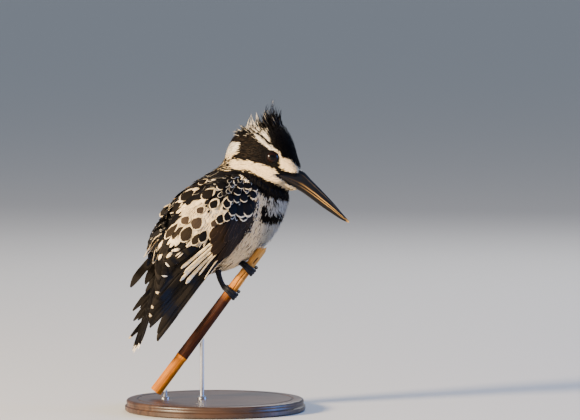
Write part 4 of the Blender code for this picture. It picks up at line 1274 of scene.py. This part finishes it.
roots = scattered_roots(back_wanted, lambda points: np.full(len(points), BACK_SPACING_MM))
n = len(roots)
coat = Coat("coat_back")
rim_share = rng.choice([0.0, 0.0, 0.02, 0.1, 0.5], n)[:, None]
coat.lay(roots, trunk_flow, rng.uniform(10, 13, n), rng.uniform(5.0, 7.0, n),
         mixed(BLACK, WHITE, rim_share), stops=COVERT_STOPS,
         around=8, lift_mm=(0.2, 1.5), width=covert_width, thickness_mm=0.2,
         second=BLACK * rng.normal(1.5, 0.3, (n, 1)), mark=fringed(0.3), patch=grid_cells(n), roll_deg=6)
coat.joined(covert_finish, faceted=True)

# --- The skin's own markings ------------------------------------------------------------------
# The skin between the feathers carries the same black and white, so that no bare patch shows. A
# fine down roughens it.


def skin_tint(points):
    own, trunk = head_plane(points), trunk_plane(points)
    s, z = trunk[:, 0], trunk[:, 2]
    head = np.where(head_black(own[:, 0], own[:, 2])[:, None], BLACK, CREAM * 0.8)
    head = np.where(bare(points)[:, None], BLACK, head)
    belly = np.where(breast_black(s, trunk[:, 1], z)[:, None], BLACK, WHITE * 0.7)
    wing = np.where(inside(WHITE_ZONE, s, z)[:, None], CREAM * 0.7, BLACK)
    body = np.where(back_part(points)[:, None], BLACK, belly)
    body = np.where(wing_covered(points)[:, None], wing, body)
    return np.where(on_head(points)[:, None], head, body)


layer = skin_mesh.attributes.new("tint", "FLOAT_COLOR", "POINT")
layer.data.foreach_set("color", np.column_stack([skin_tint(skin_points), np.ones(len(skin_points))]).ravel())
skin_finish, skin_shader, skin_node = procedural("skin_and_down", roughness=0.7, gloss=0.08)
skin_colour = skin_node("ShaderNodeAttribute", {"attribute_name": "tint"})
skin_place = skin_node("ShaderNodeTexCoord")
down = skin_node("ShaderNodeTexNoise", Vector=skin_place.outputs["Object"], Scale=1400.0, Detail=3.0)
down_shade = skin_node("ShaderNodeMapRange", Value=down.outputs["Fac"], To_Min=0.6, To_Max=1.25)
down_tint = skin_node("ShaderNodeVectorMath", {"operation": "SCALE"}, _0=skin_colour.outputs["Color"],
                      Scale=down_shade.outputs[0])
down_bump = skin_node("ShaderNodeBump", Strength=0.6, Distance=0.0003, Height=down.outputs["Fac"])
wire(skin_shader, Base_Color=down_tint.outputs[0], Normal=down_bump.outputs[0])
skin_mesh.materials.append(skin_finish)

# --- The tail ---------------------------------------------------------------------------------
# Twelve black feathers with white tips and white roots, folded into a narrow fan with the middle
# pair on top. Like the flight feathers, each is a stiff vane on a dark shaft.

TAIL_ROOT, TAIL_TIP = np.array((-56.0, 133.0)), np.array((-84.5, 49.5))
TAIL_HALF_WIDTHS_MM = 4.5, 11.5  # at the root and at the tip
TAIL_QUILLS, TAIL_OUTER_SHORTER_MM = 12, 8.0
tail_run = TAIL_TIP - TAIL_ROOT
tail_length = float(np.hypot(*tail_run))
tail_way = tail_run / tail_length
tail_along = tail_way[0] * TRUNK_WAYS[0] + tail_way[1] * UP
tail_up = tail_way[1] * TRUNK_WAYS[0] - tail_way[0] * UP
tail_guide = Guide([node_mesh("tail")], from_trunk_plane(TAIL_ROOT[0], 0.0, TAIL_ROOT[1]),
                   (tail_along, TRUNK_WAYS[1], tail_up), a_mm=(-6, 92), b_mm=(-20, 20), soften=4)


def tail_marks(across, along, half, length):
    return np.maximum((along - 0.95) * length, (0.30 - along) * length)


v = (np.arange(TAIL_QUILLS) + 0.5) / TAIL_QUILLS * 2 - 1
t = np.array(FLIGHT_STOPS)[None]
reach = tail_length - TAIL_OUTER_SHORTER_MM * np.abs(v) ** 2.5 - rng.uniform(0, 4, TAIL_QUILLS)
a = reach[:, None] * t
b = v[:, None] * mixed(*TAIL_HALF_WIDTHS_MM, t)
height = tail_guide.at(a, b) - 0.7 + 0.9 * (1 - np.abs(v))[:, None]
middle = tail_guide.point(a, b, height)
normals = tail_guide(middle.reshape(-1, 3))[1].reshape(middle.shape)
coat = Coat("tail_vanes")
coat.grow(middle, normals, FLIGHT_STOPS, 7.5, BLACK * 1.6, around=8, roll_deg=1.5, bend=0.01,
          width=flight_width, thickness_mm=0.3, droop=0.05, second=WHITE, mark=tail_marks,
          patch=grid_cells(TAIL_QUILLS))
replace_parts(coat.joined(flight_finish), "tail")
lay_shafts("tail_shafts", middle, normals, 0.7)

# --- The bill ---------------------------------------------------------------------------------
# A long dagger of black horn in two mandibles. A grooved ridge runs down the top, the nostrils are
# slits near its root, and the tip is golden. Golden lines along both cutting edges and under the ridge
# are painted highlights of warm light on the horn.

BILL_STATIONS = [  # ahead of the eyes, then heights of the ridge, the mouth and the keel, and the half width
    (2, -12.6, -13.2, -13.8, 13.4), (8, -11.8, -14.9, -18.6, 12.3), (15, -10.4, -18.2, -23.6, 9.6),
    (25, -10.6, -23.4, -29.0, 6.8), (34, -19.2, -29.3, -35.4, 5.4), (43, -28.4, -36.2, -42.0, 4.3),
    (52, -38.0, -43.3, -48.0, 3.1), (59, -46.3, -49.2, -52.4, 1.9), (65.2, -53.2, -54.0, -54.9, 0.5),
]
BILL_ROWS, BILL_ROUND = 150, 40
MOUTH_GAP_MM = 0.22
# painted highlights: golden lines where warm light glints on the horn by the cutting edges and the ridge
EDGE_GLINTS = {  # upper or not: how much gold shows at each height from the cutting edge to the ridge
    True: [(0.0, 0.0), (0.06, 0.0), (0.09, 0.9), (0.155, 1.0), (0.195, 0.15), (0.26, 0.0), (0.70, 0.0),
           (0.73, 0.5), (0.76, 0.0), (1.0, 0.0)],
    False: [(0.0, 0.0), (0.07, 0.0), (0.11, 0.9), (0.18, 0.7), (0.23, 0.0), (1.0, 0.0)],
}


def smooth_through(stations, at):
    """Values on a smooth curve through the stations, at positions counted in stations."""
    table = np.array(stations, float)
    k = np.clip(at.astype(int), 0, len(table) - 2)
    f = (at - k)[:, None]
    before, here, there = table[np.maximum(k - 1, 0)], table[k], table[k + 1]
    beyond = table[np.minimum(k + 2, len(table) - 1)]
    return 0.5 * (2 * here + (there - before) * f + (2 * before - 5 * here + 4 * there - beyond) * f ** 2
                  + (3 * here - before - 3 * there + beyond) * f ** 3)


def wrapped_grid(rows, around):
    """A flat grid to be wrapped into a tube: its bmesh, and each vertex's share along and its angle."""
    bm = bmesh.new()
    bmesh.ops.create_grid(bm, x_segments=rows, y_segments=around, size=1.0)
    grid = np.array([v.co for v in bm.verts])
    return bm, (grid[:, 0] + 1) / 2, (grid[:, 1] + 1) * math.pi


def closed_tube(bm, points, **values):
    """Moves a wrapped grid's vertices to their places, welds its seam and closes its ends.

    Each of the values is written on the vertices, for the material to read by its name.
    """
    for name, numbers in values.items():
        layer = bm.verts.layers.float.new(name)
        for vert, number in zip(bm.verts, numbers.tolist()):
            vert[layer] = number
    for vert, point in zip(bm.verts, points.tolist()):
        vert.co = point
    bmesh.ops.remove_doubles(bm, verts=bm.verts, dist=2 * WELD)
    bmesh.ops.holes_fill(bm, edges=[e for e in bm.edges if e.is_boundary], sides=0)
    bmesh.ops.recalc_face_normals(bm, faces=bm.faces)


def mandible(name, upper, node):
    bm, along, turn = wrapped_grid(BILL_ROWS, BILL_ROUND)
    u, top, mouth, bottom, half = smooth_through(BILL_STATIONS, along * (len(BILL_STATIONS) - 1)).T
    reach = (top if upper else bottom) - mouth
    c, sn = np.cos(turn), np.sin(turn)
    rise = np.where(sn > 0, np.abs(sn) ** 1.15, -0.06 * np.abs(sn))
    y = half * np.sign(c) * np.abs(c) ** (0.92 if upper else 0.85)
    gap = MOUTH_GAP_MM / 2 * (1 if upper else -1)
    w = mouth + gap + (reach - gap) * rise
    ridge = np.exp(-((np.abs(rise) - 0.80) / 0.05) ** 2) * (sn > 0)
    nostril = np.exp(-((u - 26.0) / 2.0) ** 2 - ((rise - 0.52) / 0.09) ** 2) * upper * (sn > 0)
    y = y - np.sign(y) * (0.22 * ridge * upper + 0.7 * nostril) * np.clip(half / 4, 0, 1)
    closed_tube(bm, from_head_plane(u, y, w), rise=rise, run=along)
    finish_piece(name, mesh_of(bm, name), [horn_finish(f"{name}_horn", upper)], [node])


def blended(node, along, stops):
    """A ramp's colour output, blended between stops of position and colour."""
    made = node("ShaderNodeValToRGB", Fac=along)
    ends = made.color_ramp.elements
    for end, (position, colour) in ((ends[0], stops[0]), (ends[1], stops[-1])):
        end.position, end.color = position, (*colour, 1)
    for position, colour in stops[1:-1]:
        ends.new(position).color = (*colour, 1)
    return made.outputs["Color"]


def horn_finish(name, upper):
    made, shader, node = procedural(name, roughness=0.36, gloss=0.22)
    rise = node("ShaderNodeAttribute", {"attribute_name": "rise"}).outputs["Fac"]
    run = node("ShaderNodeAttribute", {"attribute_name": "run"}).outputs["Fac"]
    place = node("ShaderNodeTexCoord").outputs["Object"]
    grain = node("ShaderNodeTexNoise", Vector=node("ShaderNodeCombineXYZ", X=run, Y=rise).outputs[0],
                 Scale=14.0, Detail=4.0)
    fine = node("ShaderNodeTexNoise", Vector=place, Scale=900.0, Detail=3.0)
    wobble = node("ShaderNodeMath", {"operation": "MULTIPLY_ADD"}, _0=grain.outputs["Fac"], _1=0.10, _2=-0.05)
    level = node("ShaderNodeMath", {"operation": "ADD"}, _0=rise, _1=wobble.outputs[0])
    # painted highlight: the golden glint lines, fading in toward the bill's root
    glint = blended(node, level.outputs[0], [(rise_at, (share,) * 3) for rise_at, share in EDGE_GLINTS[upper]])
    onset = node("ShaderNodeMapRange", Value=run, From_Min=0.34, From_Max=0.62, To_Min=0.05)
    glint_share = node("ShaderNodeMath", {"operation": "MULTIPLY"}, _0=glint, _1=onset.outputs[0])
    tip = node("ShaderNodeMapRange", Value=run, From_Min=0.93, From_Max=0.99)
    most = node("ShaderNodeMath", {"operation": "MAXIMUM"}, _0=glint_share.outputs[0], _1=tip.outputs[0])
    horn = node("ShaderNodeMix", {"data_type": "RGBA"}, Factor=fine.outputs["Fac"],
                _6=(0.003, 0.003, 0.0035, 1), _7=(0.012, 0.011, 0.011, 1))
    colour = node("ShaderNodeMix", {"data_type": "RGBA"}, Factor=most.outputs[0], _6=horn.outputs[2],
                  _7=(0.66, 0.36, 0.10, 1))
    bump = node("ShaderNodeBump", Strength=0.25, Distance=0.0002, Height=fine.outputs["Fac"])
    wire(shader, Base_Color=colour.outputs[2], Normal=bump.outputs[0])
    return made


mandible("upper_bill", True, "bill_upper")
mandible("lower_bill", False, "bill_lower")

# --- The eyes ---------------------------------------------------------------------------------
# Glass eyes, nearly black: a dark brown iris round a black pupil under a clear bulging cornea, each
# set in a narrow ring of bare black lid.

EYE_BALL_MM, LID_RING_MM, LID_WALL_MM = 5.5, 5.4, 0.34
EYE_FLATNESS, LID_FLATNESS = 0.72, 0.6  # how deep each is for its width
EYE_SUNK_MM, LID_SUNK = 0.15, 0.0024
iris_finish, iris_shader, iris_node = procedural("eye_iris", roughness=0.25, gloss=0.08)
iris_reach = iris_node("ShaderNodeAttribute", {"attribute_name": "reach"}).outputs["Fac"]
PUPIL = (0.002, 0.002, 0.002)
wire(iris_shader, Base_Color=blended(iris_node, iris_reach, [
    (0.0, PUPIL), (0.40, PUPIL), (0.46, (0.012, 0.0035, 0.002)), (0.75, (0.006, 0.0025, 0.002)),
    (1.0, (0.004, 0.003, 0.003))]))
iris_shader.inputs["Coat Weight"].default_value = 0.16
iris_shader.inputs["Coat Roughness"].default_value = 0.02
lid_finish, lid_shader, lid_node = procedural("eye_lid", (0.003, 0.003, 0.003), gloss=0.12)
lid_place = lid_node("ShaderNodeTexCoord").outputs["Object"]
lid_cells = lid_node("ShaderNodeTexVoronoi", Vector=lid_place, Scale=2200.0)
lid_bump = lid_node("ShaderNodeBump", Strength=0.5, Distance=0.0002, Height=lid_cells.outputs["Distance"])
wire(lid_shader, Normal=lid_bump.outputs[0])

for side, sign in SIDES.items():
    outward = HEAD_ACROSS * sign
    low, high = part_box(f"eye_{side}")
    reach = max(abs((corner - EYES_MIDDLE).dot(HEAD_ACROSS)) for corner in (low, high))
    socket = EYES_MIDDLE + outward * reach + (HEAD_AHEAD * EYE_SPOT[0] + Vector((0, 0, EYE_SPOT[1]))) / 1000
    turn = outward.to_track_quat("Z", "Y").to_matrix().to_4x4()
    bm = bmesh.new()
    bmesh.ops.create_uvsphere(bm, u_segments=48, v_segments=32, radius=EYE_BALL_MM / 1000)
    layer = bm.verts.layers.float.new("reach")
    for vert in bm.verts:
        vert[layer] = math.hypot(vert.co.x, vert.co.y) / (EYE_BALL_MM / 1000) if vert.co.z > 0 else 1.0
        vert.co.z = vert.co.z * EYE_FLATNESS
    seat = socket - outward * (EYE_BALL_MM * EYE_FLATNESS + EYE_SUNK_MM) / 1000
    bmesh.ops.transform(bm, verts=bm.verts, matrix=Matrix.Translation(seat) @ turn)
    finish_piece(f"eyeball_{side}", mesh_of(bm, f"eyeball_{side}"), [iris_finish], [f"eye_{side}"])
    bm = bmesh.new()
    bmesh.ops.create_circle(bm, segments=12, radius=LID_WALL_MM / 1000)
    bmesh.ops.transform(bm, verts=bm.verts, matrix=Matrix.Translation((LID_RING_MM / 1000, 0, 0))
                        @ Matrix.Rotation(math.pi / 2, 4, "X"))
    bmesh.ops.spin(bm, geom=bm.verts[:] + bm.edges[:], cent=(0, 0, 0), axis=(0, 0, 1), angle=2 * math.pi,
                   steps=48, use_merge=True)
    bmesh.ops.remove_doubles(bm, verts=bm.verts, dist=WELD)
    bmesh.ops.scale(bm, vec=(1, 1, LID_FLATNESS), verts=bm.verts)
    bmesh.ops.recalc_face_normals(bm, faces=bm.faces)
    bmesh.ops.transform(bm, verts=bm.verts, matrix=Matrix.Translation(socket - outward * LID_SUNK) @ turn)
    finish_piece(f"lid_{side}", mesh_of(bm, f"lid_{side}"), [lid_finish])

# --- The reed ---------------------------------------------------------------------------------
# A short cut of dry reed for a perch. Its top is snapped off, with a hollow of white pith inside,
# it has split along the grain, and a leaf sheath still wraps its middle. The sheath is coloured darker
# for its own tone and for a painted shadow of the bird; the top is painted lighter as painted light,
# and the splits darker as painted shade.

REED_TOP, REED_FOOT = Vector((0.0400, -0.0026, 0.1366)), Vector((-0.0499, -0.0040, 0.0160))
REED_TOP_RADIUS_MM, REED_FOOT_RADIUS_MM = 3.95, 5.3
REED_LENGTH_MM = (REED_FOOT - REED_TOP).length * 1000
SHEATH_MM = (31.0, 113.0)  # from and to, down the reed
REED_ROWS, REED_ROUND = 300, 96
HOLLOW_ROWS = 0.055  # the share of the rows that line the hollow top
# share of the rows, mm down the reed and share of its radius: hollow, rim, side and foot
REED_PROFILE = np.array([
    (0, 4.5, 0.02), (0.012, 4.5, 0.62), (0.03, 1.5, 0.72), (0.045, 0.2, 0.80), (0.06, 0.0, 0.96),
    (0.07, 0.8, 1.0), (0.985, REED_LENGTH_MM - 0.6, 1.0), (0.99, REED_LENGTH_MM, 0.95),
    (1.0, REED_LENGTH_MM, 0.02),
])
SPLITS = [  # angle round the reed, where each starts and ends down it, and its half width and depth
    (1.60, 24, 43, 0.30, 1.1), (0.72, 68, 90, 0.85, 1.2), (1.95, 8, 15, 0.45, 0.9), (2.3, 20, 60, 0.18, 0.5),
    (4.6, 40, 100, 0.35, 0.8), (0.3, 4, 30, 0.2, 0.6),
]
reed_along = (REED_FOOT - REED_TOP).normalized()
reed_front = (Vector((0, -1, 0)) - reed_along * Vector((0, -1, 0)).dot(reed_along)).normalized()
reed_upper = reed_front.cross(reed_along)
reed_upper = reed_upper if reed_upper.z > 0 else -reed_upper


def reed_radius(down_mm):
    return REED_TOP_RADIUS_MM + (REED_FOOT_RADIUS_MM - REED_TOP_RADIUS_MM) * down_mm / REED_LENGTH_MM


def around_reed(down_mm, angle, radius_mm):
    """Points about the reed: angle 0 is its upper side and a quarter turn faces the viewer."""
    down_mm, angle, radius_mm = np.broadcast_arrays(down_mm, angle, radius_mm)
    ring = (np.cos(angle)[..., None] * np.array(reed_upper) + np.sin(angle)[..., None] * np.array(reed_front))
    aside = ring * radius_mm[..., None]
    return np.array(REED_TOP) + (down_mm[..., None] * np.array(reed_along) + aside) / 1000


bm, along, turn = wrapped_grid(REED_ROWS, REED_ROUND)
down = np.interp(along, REED_PROFILE[:, 0], REED_PROFILE[:, 1])
share = np.interp(along, REED_PROFILE[:, 0], REED_PROFILE[:, 2])
ragged = (1.5 * np.sin(turn * 2 + 0.6) + 0.9 * np.sin(turn * 5) + 0.5 * np.sin(turn * 13 + 1)
          + 0.3 * np.sin(turn * 23))
down = down + ragged * np.clip(1 - down / 9, 0, 1) * (share > 0.6)
fibres = (0.05 * np.sin(turn * 17 + 0.02 * down) + 0.04 * np.sin(turn * 29 + 1.3)
          + 0.05 * np.sin(turn * 7 + 0.05 * down))
sheath = (smooth_step(SHEATH_MM[0] - 1, SHEATH_MM[0], down)
          * smooth_step(SHEATH_MM[1] + 0.5, SHEATH_MM[1] - 0.5, down))
ring = 0.30 * np.exp(-((down - SHEATH_MM[1] - 1) / 1.2) ** 2)
radius = reed_radius(down) + fibres + 0.22 * sheath + ring - 0.25
for angle, start, end, wide, deep in SPLITS:
    wander = angle + 0.05 * np.sin(down * 0.35)
    aside = (np.mod(turn - wander + math.pi, 2 * math.pi) - math.pi) * radius
    open_here = smooth_step(start - 1, start + 2, down) * smooth_step(end + 1, end - 2, down)
    radius = radius - deep * np.exp(-(aside / wide) ** 2) * open_here
hollow = (along < HOLLOW_ROWS).astype(float)
# painted shade: the deeper a split sinks below the reed's surface, the darker it is coloured
cut = np.clip((reed_radius(down) + 0.1 - radius) / 0.8, 0, 1) * (1 - hollow)
closed_tube(bm, around_reed(down, turn, radius * share), run=down, turn=turn, deep=cut - hollow)
reed_finish, reed_shader, reed_node = procedural("dry_split_reed", roughness=0.55, gloss=0.12)
reed_run = reed_node("ShaderNodeAttribute", {"attribute_name": "run"}).outputs["Fac"]
reed_turn = reed_node("ShaderNodeAttribute", {"attribute_name": "turn"}).outputs["Fac"]
reed_deep = reed_node("ShaderNodeAttribute", {"attribute_name": "deep"}).outputs["Fac"]
reed_cos, reed_sin = (reed_node("ShaderNodeMath", {"operation": kind}, _0=reed_turn)
                      for kind in ("COSINE", "SINE"))
reed_slow = reed_node("ShaderNodeMath", {"operation": "MULTIPLY"}, _0=reed_run, _1=0.012)
reed_spot = reed_node("ShaderNodeCombineXYZ", X=reed_cos.outputs[0], Y=reed_sin.outputs[0],
                      Z=reed_slow.outputs[0])
reed_grain = reed_node("ShaderNodeTexNoise", Vector=reed_spot.outputs[0], Scale=11.0, Detail=5.0,
                       Roughness=0.7)
reed_fine = reed_node("ShaderNodeTexNoise", Vector=reed_spot.outputs[0], Scale=34.0, Detail=2.0)
reed_bright = blended(reed_node, reed_grain.outputs["Fac"],
                      [(0.34, (0.55, 0.14, 0.004)), (0.68, (0.93, 0.31, 0.006))])
reed_dark = blended(reed_node, reed_grain.outputs["Fac"],
                    [(0.34, (0.010, 0.004, 0.002)), (0.70, (0.10, 0.022, 0.004))])
# the sheath's own darker tone and a painted shadow of the bird, deepening down from the sheath's top
from_top = reed_node("ShaderNodeMapRange", Value=reed_run, From_Min=SHEATH_MM[0] + 4,
                     From_Max=SHEATH_MM[0] + 24)
to_end = reed_node("ShaderNodeMapRange", Value=reed_run, From_Min=SHEATH_MM[1] - 0.3,
                   From_Max=SHEATH_MM[1] + 0.3, To_Min=1.0, To_Max=0.0)
sheath_and_shadow = reed_node("ShaderNodeMath", {"operation": "MULTIPLY"}, _0=from_top.outputs[0],
                      _1=to_end.outputs[0])
# painted light: the top 50 mm of the reed is coloured lighter and brighter, as if lit
top_painted_light = reed_node("ShaderNodeMapRange", Value=reed_run, From_Min=10.0, From_Max=50.0, To_Min=0.85,
                     To_Max=0.0)
reed_lit_top = reed_node("ShaderNodeMix", {"data_type": "RGBA"}, Factor=top_painted_light.outputs[0],
                          _6=reed_bright, _7=(1.0, 0.50, 0.12, 1))
reed_colour = reed_node("ShaderNodeMix", {"data_type": "RGBA"}, Factor=sheath_and_shadow.outputs[0],
                        _6=reed_lit_top.outputs[2], _7=reed_dark)
# painted shade inside the splits
reed_split_shade = reed_node("ShaderNodeMix", {"data_type": "RGBA"}, Factor=reed_deep, _6=reed_colour.outputs[2],
                       _7=(0.022, 0.008, 0.004, 1))
reed_pith_share = reed_node("ShaderNodeMath", {"operation": "MULTIPLY"}, _0=reed_deep, _1=-1.0)
reed_pith = reed_node("ShaderNodeMix", {"data_type": "RGBA"}, Factor=reed_pith_share.outputs[0],
                      _6=reed_split_shade.outputs[2], _7=(0.80, 0.56, 0.30, 1))
reed_bump = reed_node("ShaderNodeBump", Strength=0.6, Distance=0.0003, Height=reed_fine.outputs["Fac"])
wire(reed_shader, Base_Color=reed_pith.outputs[2], Normal=reed_bump.outputs[0])
finish_piece("split_reed", mesh_of(bm, "split_reed"), [reed_finish], ["perch_reed"], sharp_deg=50)

# --- The legs and claws -----------------------------------------------------------------------
# Short black scaly shanks with small perching feet: three toes reach round the front of the reed,
# the outer two joined for half their length, and one behind. Each ends in a curved black claw.

FEET = {  # each foot's grip, in mm down the reed, and its hip
    "right": (45.5, (2.4, -5.0, 124.0)), "left": (20.5, (17.6, 8.0, 128.0)),
}
TOE_MM, SHANK_MM, CLAW_MM = 1.45, 2.0, 6.0
TOES = (  # where each starts and ends along the reed, from the grip, and its turn round it in degrees
    (-1.5, -1.4, 185), (1.0, 0.8, 215), (-0.2, 3.2, 170), (-1.2, -4.6, -178),
)
FOOT_VOXEL = 0.00032


def tube_points(path, radii, turn, along, flat=1.0):
    """Points of a tube round a path, given as arrays of path points and radii in mm."""
    steps = np.linspace(0, 1, len(path))
    centre = np.stack([np.interp(along, steps, path[:, k]) for k in range(3)], axis=1)
    ahead = np.gradient(path, axis=0)
    ahead = unit(np.stack([np.interp(along, steps, ahead[:, k]) for k in range(3)], axis=1))
    side = unit(np.cross(ahead, np.array(reed_along) + 0.01))
    up = np.cross(side, ahead)
    radius = np.interp(along, steps, radii)[:, None] / 1000
    return centre + radius * (side * np.cos(turn)[:, None] + flat * up * np.sin(turn)[:, None])


foot_finish, foot_shader, foot_node = procedural("black_scaled_skin", gloss=0.12)
foot_place = foot_node("ShaderNodeTexCoord").outputs["Object"]
foot_cells = foot_node("ShaderNodeTexVoronoi", {"feature": "DISTANCE_TO_EDGE"}, Vector=foot_place,
                       Scale=850.0)
foot_scales = foot_node("ShaderNodeMapRange", Value=foot_cells.outputs["Distance"], From_Max=0.18)
foot_tone = foot_node("ShaderNodeMix", {"data_type": "RGBA"}, Factor=foot_scales.outputs[0],
                      _6=(0.003, 0.003, 0.004, 1), _7=(0.012, 0.012, 0.016, 1))
foot_bump = foot_node("ShaderNodeBump", Strength=0.35, Distance=0.0002, Height=foot_scales.outputs[0])
wire(foot_shader, Base_Color=foot_tone.outputs[2], Normal=foot_bump.outputs[0])
claw_finish, claw_shader, claw_node = procedural("claw_horn", roughness=0.3, gloss=0.25)
claw_place = claw_node("ShaderNodeTexCoord").outputs["Object"]
claw_grain = claw_node("ShaderNodeTexNoise", Vector=claw_place, Scale=1200.0)
claw_tone = claw_node("ShaderNodeMix", {"data_type": "RGBA"}, Factor=claw_grain.outputs["Fac"],
                      _6=(0.004, 0.004, 0.005, 1), _7=(0.030, 0.026, 0.026, 1))
wire(claw_shader, Base_Color=claw_tone.outputs[2])

for side, (grip, hip) in FEET.items():
    foot_bm, claw_bm = bmesh.new(), bmesh.new()
    clear = reed_radius(grip) + TOE_MM - 0.1
    ankle = around_reed(grip, 0.0, clear + 0.6)
    hip = np.array(hip) / 1000
    t = np.linspace(0, 1, 24)[:, None]
    knee = ankle + (hip - ankle) * 0.45 + TRUNK_WAYS[0] * -0.0036
    path = ankle * (1 - t) ** 2 + 2 * knee * t * (1 - t) + hip * t ** 2
    radii = SHANK_MM * (1 + 0.15 * np.exp(-(t[:, 0] / 0.12) ** 2) + 0.35 * t[:, 0])
    tubes = [(path, radii)]
    for start, end, wrap in TOES:
        t = np.linspace(0, 1, 40)
        path = around_reed(grip + start + (end - start) * t, np.radians(wrap) * t,
                           clear + 0.25 * np.sin(t * 9.0))
        joints = 1 + 0.10 * np.cos(t * 3.2 * 2 * math.pi)
        rounding = np.where(t > 0.92, np.sqrt(np.clip((1.02 - t) / 0.1, 0.05, 1)), 1)
        tubes.append((path, TOE_MM * joints * rounding))
        t = np.linspace(0, 1, 24)
        claw_turn = math.copysign(CLAW_MM / clear, wrap)
        path = around_reed(grip + end, np.radians(wrap) + claw_turn * (t - 0.15), clear - 0.1 + 1.3 * t * t)
        piece, along, turn = wrapped_grid(24, 12)
        closed_tube(piece, tube_points(path, 0.95 * (1 - t) ** 0.75 + 0.05, turn, along, 0.8))
        add_part(claw_bm, piece)
    for path, radii in tubes:
        piece, along, turn = wrapped_grid(48, 16)
        closed_tube(piece, tube_points(path, radii, turn, along))
        add_part(foot_bm, piece)
    foot = remeshed(mesh_of(foot_bm, "foot"), FOOT_VOXEL, 3)
    foot.name = f"scaly_foot_{side}"
    finish_piece(f"scaly_foot_{side}", foot, [foot_finish], [f"foot_{side}"])
    finish_piece(f"claws_{side}", mesh_of(claw_bm, f"claws_{side}"), [claw_finish])

# --- The display stand ------------------------------------------------------------------------
# A turned disc of dark stained wood with a beaded edge carries the reed on two thin steel rods,
# each let into the wood through a small turned collar.

base_low, base_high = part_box("stand_base")
BASE_RADIUS = (base_high.x - base_low.x) / 2
BASE_TOP = base_high.z
COLLAR_RADIUS, COLLAR_HEIGHT = 0.0038, 0.0022


def turned(profile, steps, ring=False):
    """A body turned from a profile of radius and height; a ring's profile closes on itself."""
    bm = bmesh.new()
    verts = [bm.verts.new((r, 0, z)) for r, z in profile]
    edges = [bm.edges.new(pair) for pair in zip(verts, verts[1:] + verts[:1] * ring)]
    bmesh.ops.spin(bm, geom=verts + edges, cent=(0, 0, 0), axis=(0, 0, 1), angle=2 * math.pi, steps=steps,
                   use_merge=True)
    bmesh.ops.remove_doubles(bm, verts=bm.verts, dist=WELD)
    bmesh.ops.recalc_face_normals(bm, faces=bm.faces)
    return bm


edge_profile = [(0.0, 0.0), (BASE_RADIUS - 0.0012, 0.0), (BASE_RADIUS, 0.0012), (BASE_RADIUS, 0.0042),
                (BASE_RADIUS - 0.0014, 0.0050), (BASE_RADIUS - 0.0014, 0.0058)]
edge_profile += [(BASE_RADIUS - 0.0034 + 0.0022 * math.cos(a), BASE_TOP - 0.0022 + 0.0022 * math.sin(a))
                 for a in np.linspace(-0.6, math.pi / 2, 8)]
edge_profile += [(BASE_RADIUS - 0.010, BASE_TOP), (BASE_RADIUS - 0.0104, BASE_TOP - 0.0005),
                 (BASE_RADIUS - 0.0112, BASE_TOP - 0.0005), (BASE_RADIUS - 0.0116, BASE_TOP), (0.0, BASE_TOP)]
bm = turned(edge_profile, 160)
wood_finish, wood_shader, wood_node = procedural("dark_stained_wood", roughness=0.38)
wood_place = wood_node("ShaderNodeTexCoord").outputs["Object"]
wood_stretch = wood_node("ShaderNodeMapping", Vector=wood_place, Scale=(1.0, 9.0, 3.0))
wood_figure = wood_node("ShaderNodeTexNoise", Vector=wood_stretch.outputs[0], Scale=14.0, Detail=6.0,
                        Distortion=1.2)
wood_pores = wood_node("ShaderNodeMapping", Vector=wood_place, Scale=(1.0, 22.0, 6.0))
wood_fine = wood_node("ShaderNodeTexNoise", Vector=wood_pores.outputs[0], Scale=160.0, Detail=2.0)
wood_tone = blended(wood_node, wood_figure.outputs["Fac"],
                    [(0.32, (0.016, 0.0075, 0.004)), (0.70, (0.085, 0.040, 0.020))])
wood_bump = wood_node("ShaderNodeBump", Strength=0.25, Distance=0.0002, Height=wood_fine.outputs["Fac"])
wood_gloss = wood_node("ShaderNodeMapRange", Value=wood_fine.outputs["Fac"], To_Min=0.30, To_Max=0.48)
wire(wood_shader, Base_Color=wood_tone, Roughness=wood_gloss.outputs[0], Normal=wood_bump.outputs[0])
finish_piece("turned_base", mesh_of(bm, "turned_base"), [wood_finish], ["stand_base"],
             sharp_deg=35)

steel_finish, steel_shader, steel_node = procedural("brushed_steel", (0.55, 0.55, 0.57), 0.28, 1.0)
steel_place = steel_node("ShaderNodeTexCoord").outputs["Object"]
steel_stretch = steel_node("ShaderNodeMapping", Vector=steel_place, Scale=(1.0, 1.0, 0.02))
steel_lines = steel_node("ShaderNodeTexNoise", Vector=steel_stretch.outputs[0], Scale=2500.0)
steel_gloss = steel_node("ShaderNodeMapRange", Value=steel_lines.outputs["Fac"], To_Min=0.2, To_Max=0.4)
steel_bump = steel_node("ShaderNodeBump", Strength=0.15, Distance=0.0001, Height=steel_lines.outputs["Fac"])
wire(steel_shader, Roughness=steel_gloss.outputs[0], Normal=steel_bump.outputs[0])
for rod_name in ("stand_rod_front", "stand_rod_rear"):
    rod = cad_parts[rod_name]
    rod.material_slots[0].material = steel_finish
    low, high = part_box(rod_name)
    rod_radius = (high.y - low.y) / 2
    bm = turned([(rod_radius, 0), (COLLAR_RADIUS, 0), (COLLAR_RADIUS, COLLAR_HEIGHT * 0.6),
                 (COLLAR_RADIUS * 0.8, COLLAR_HEIGHT), (rod_radius, COLLAR_HEIGHT)], 40, ring=True)
    bmesh.ops.translate(bm, verts=bm.verts, vec=((low.x + high.x) / 2, (low.y + high.y) / 2, BASE_TOP))
    finish_piece(rod_name.replace("stand_rod", "collar"), mesh_of(bm, "collar"), [steel_finish],
                 sharp_deg=35)
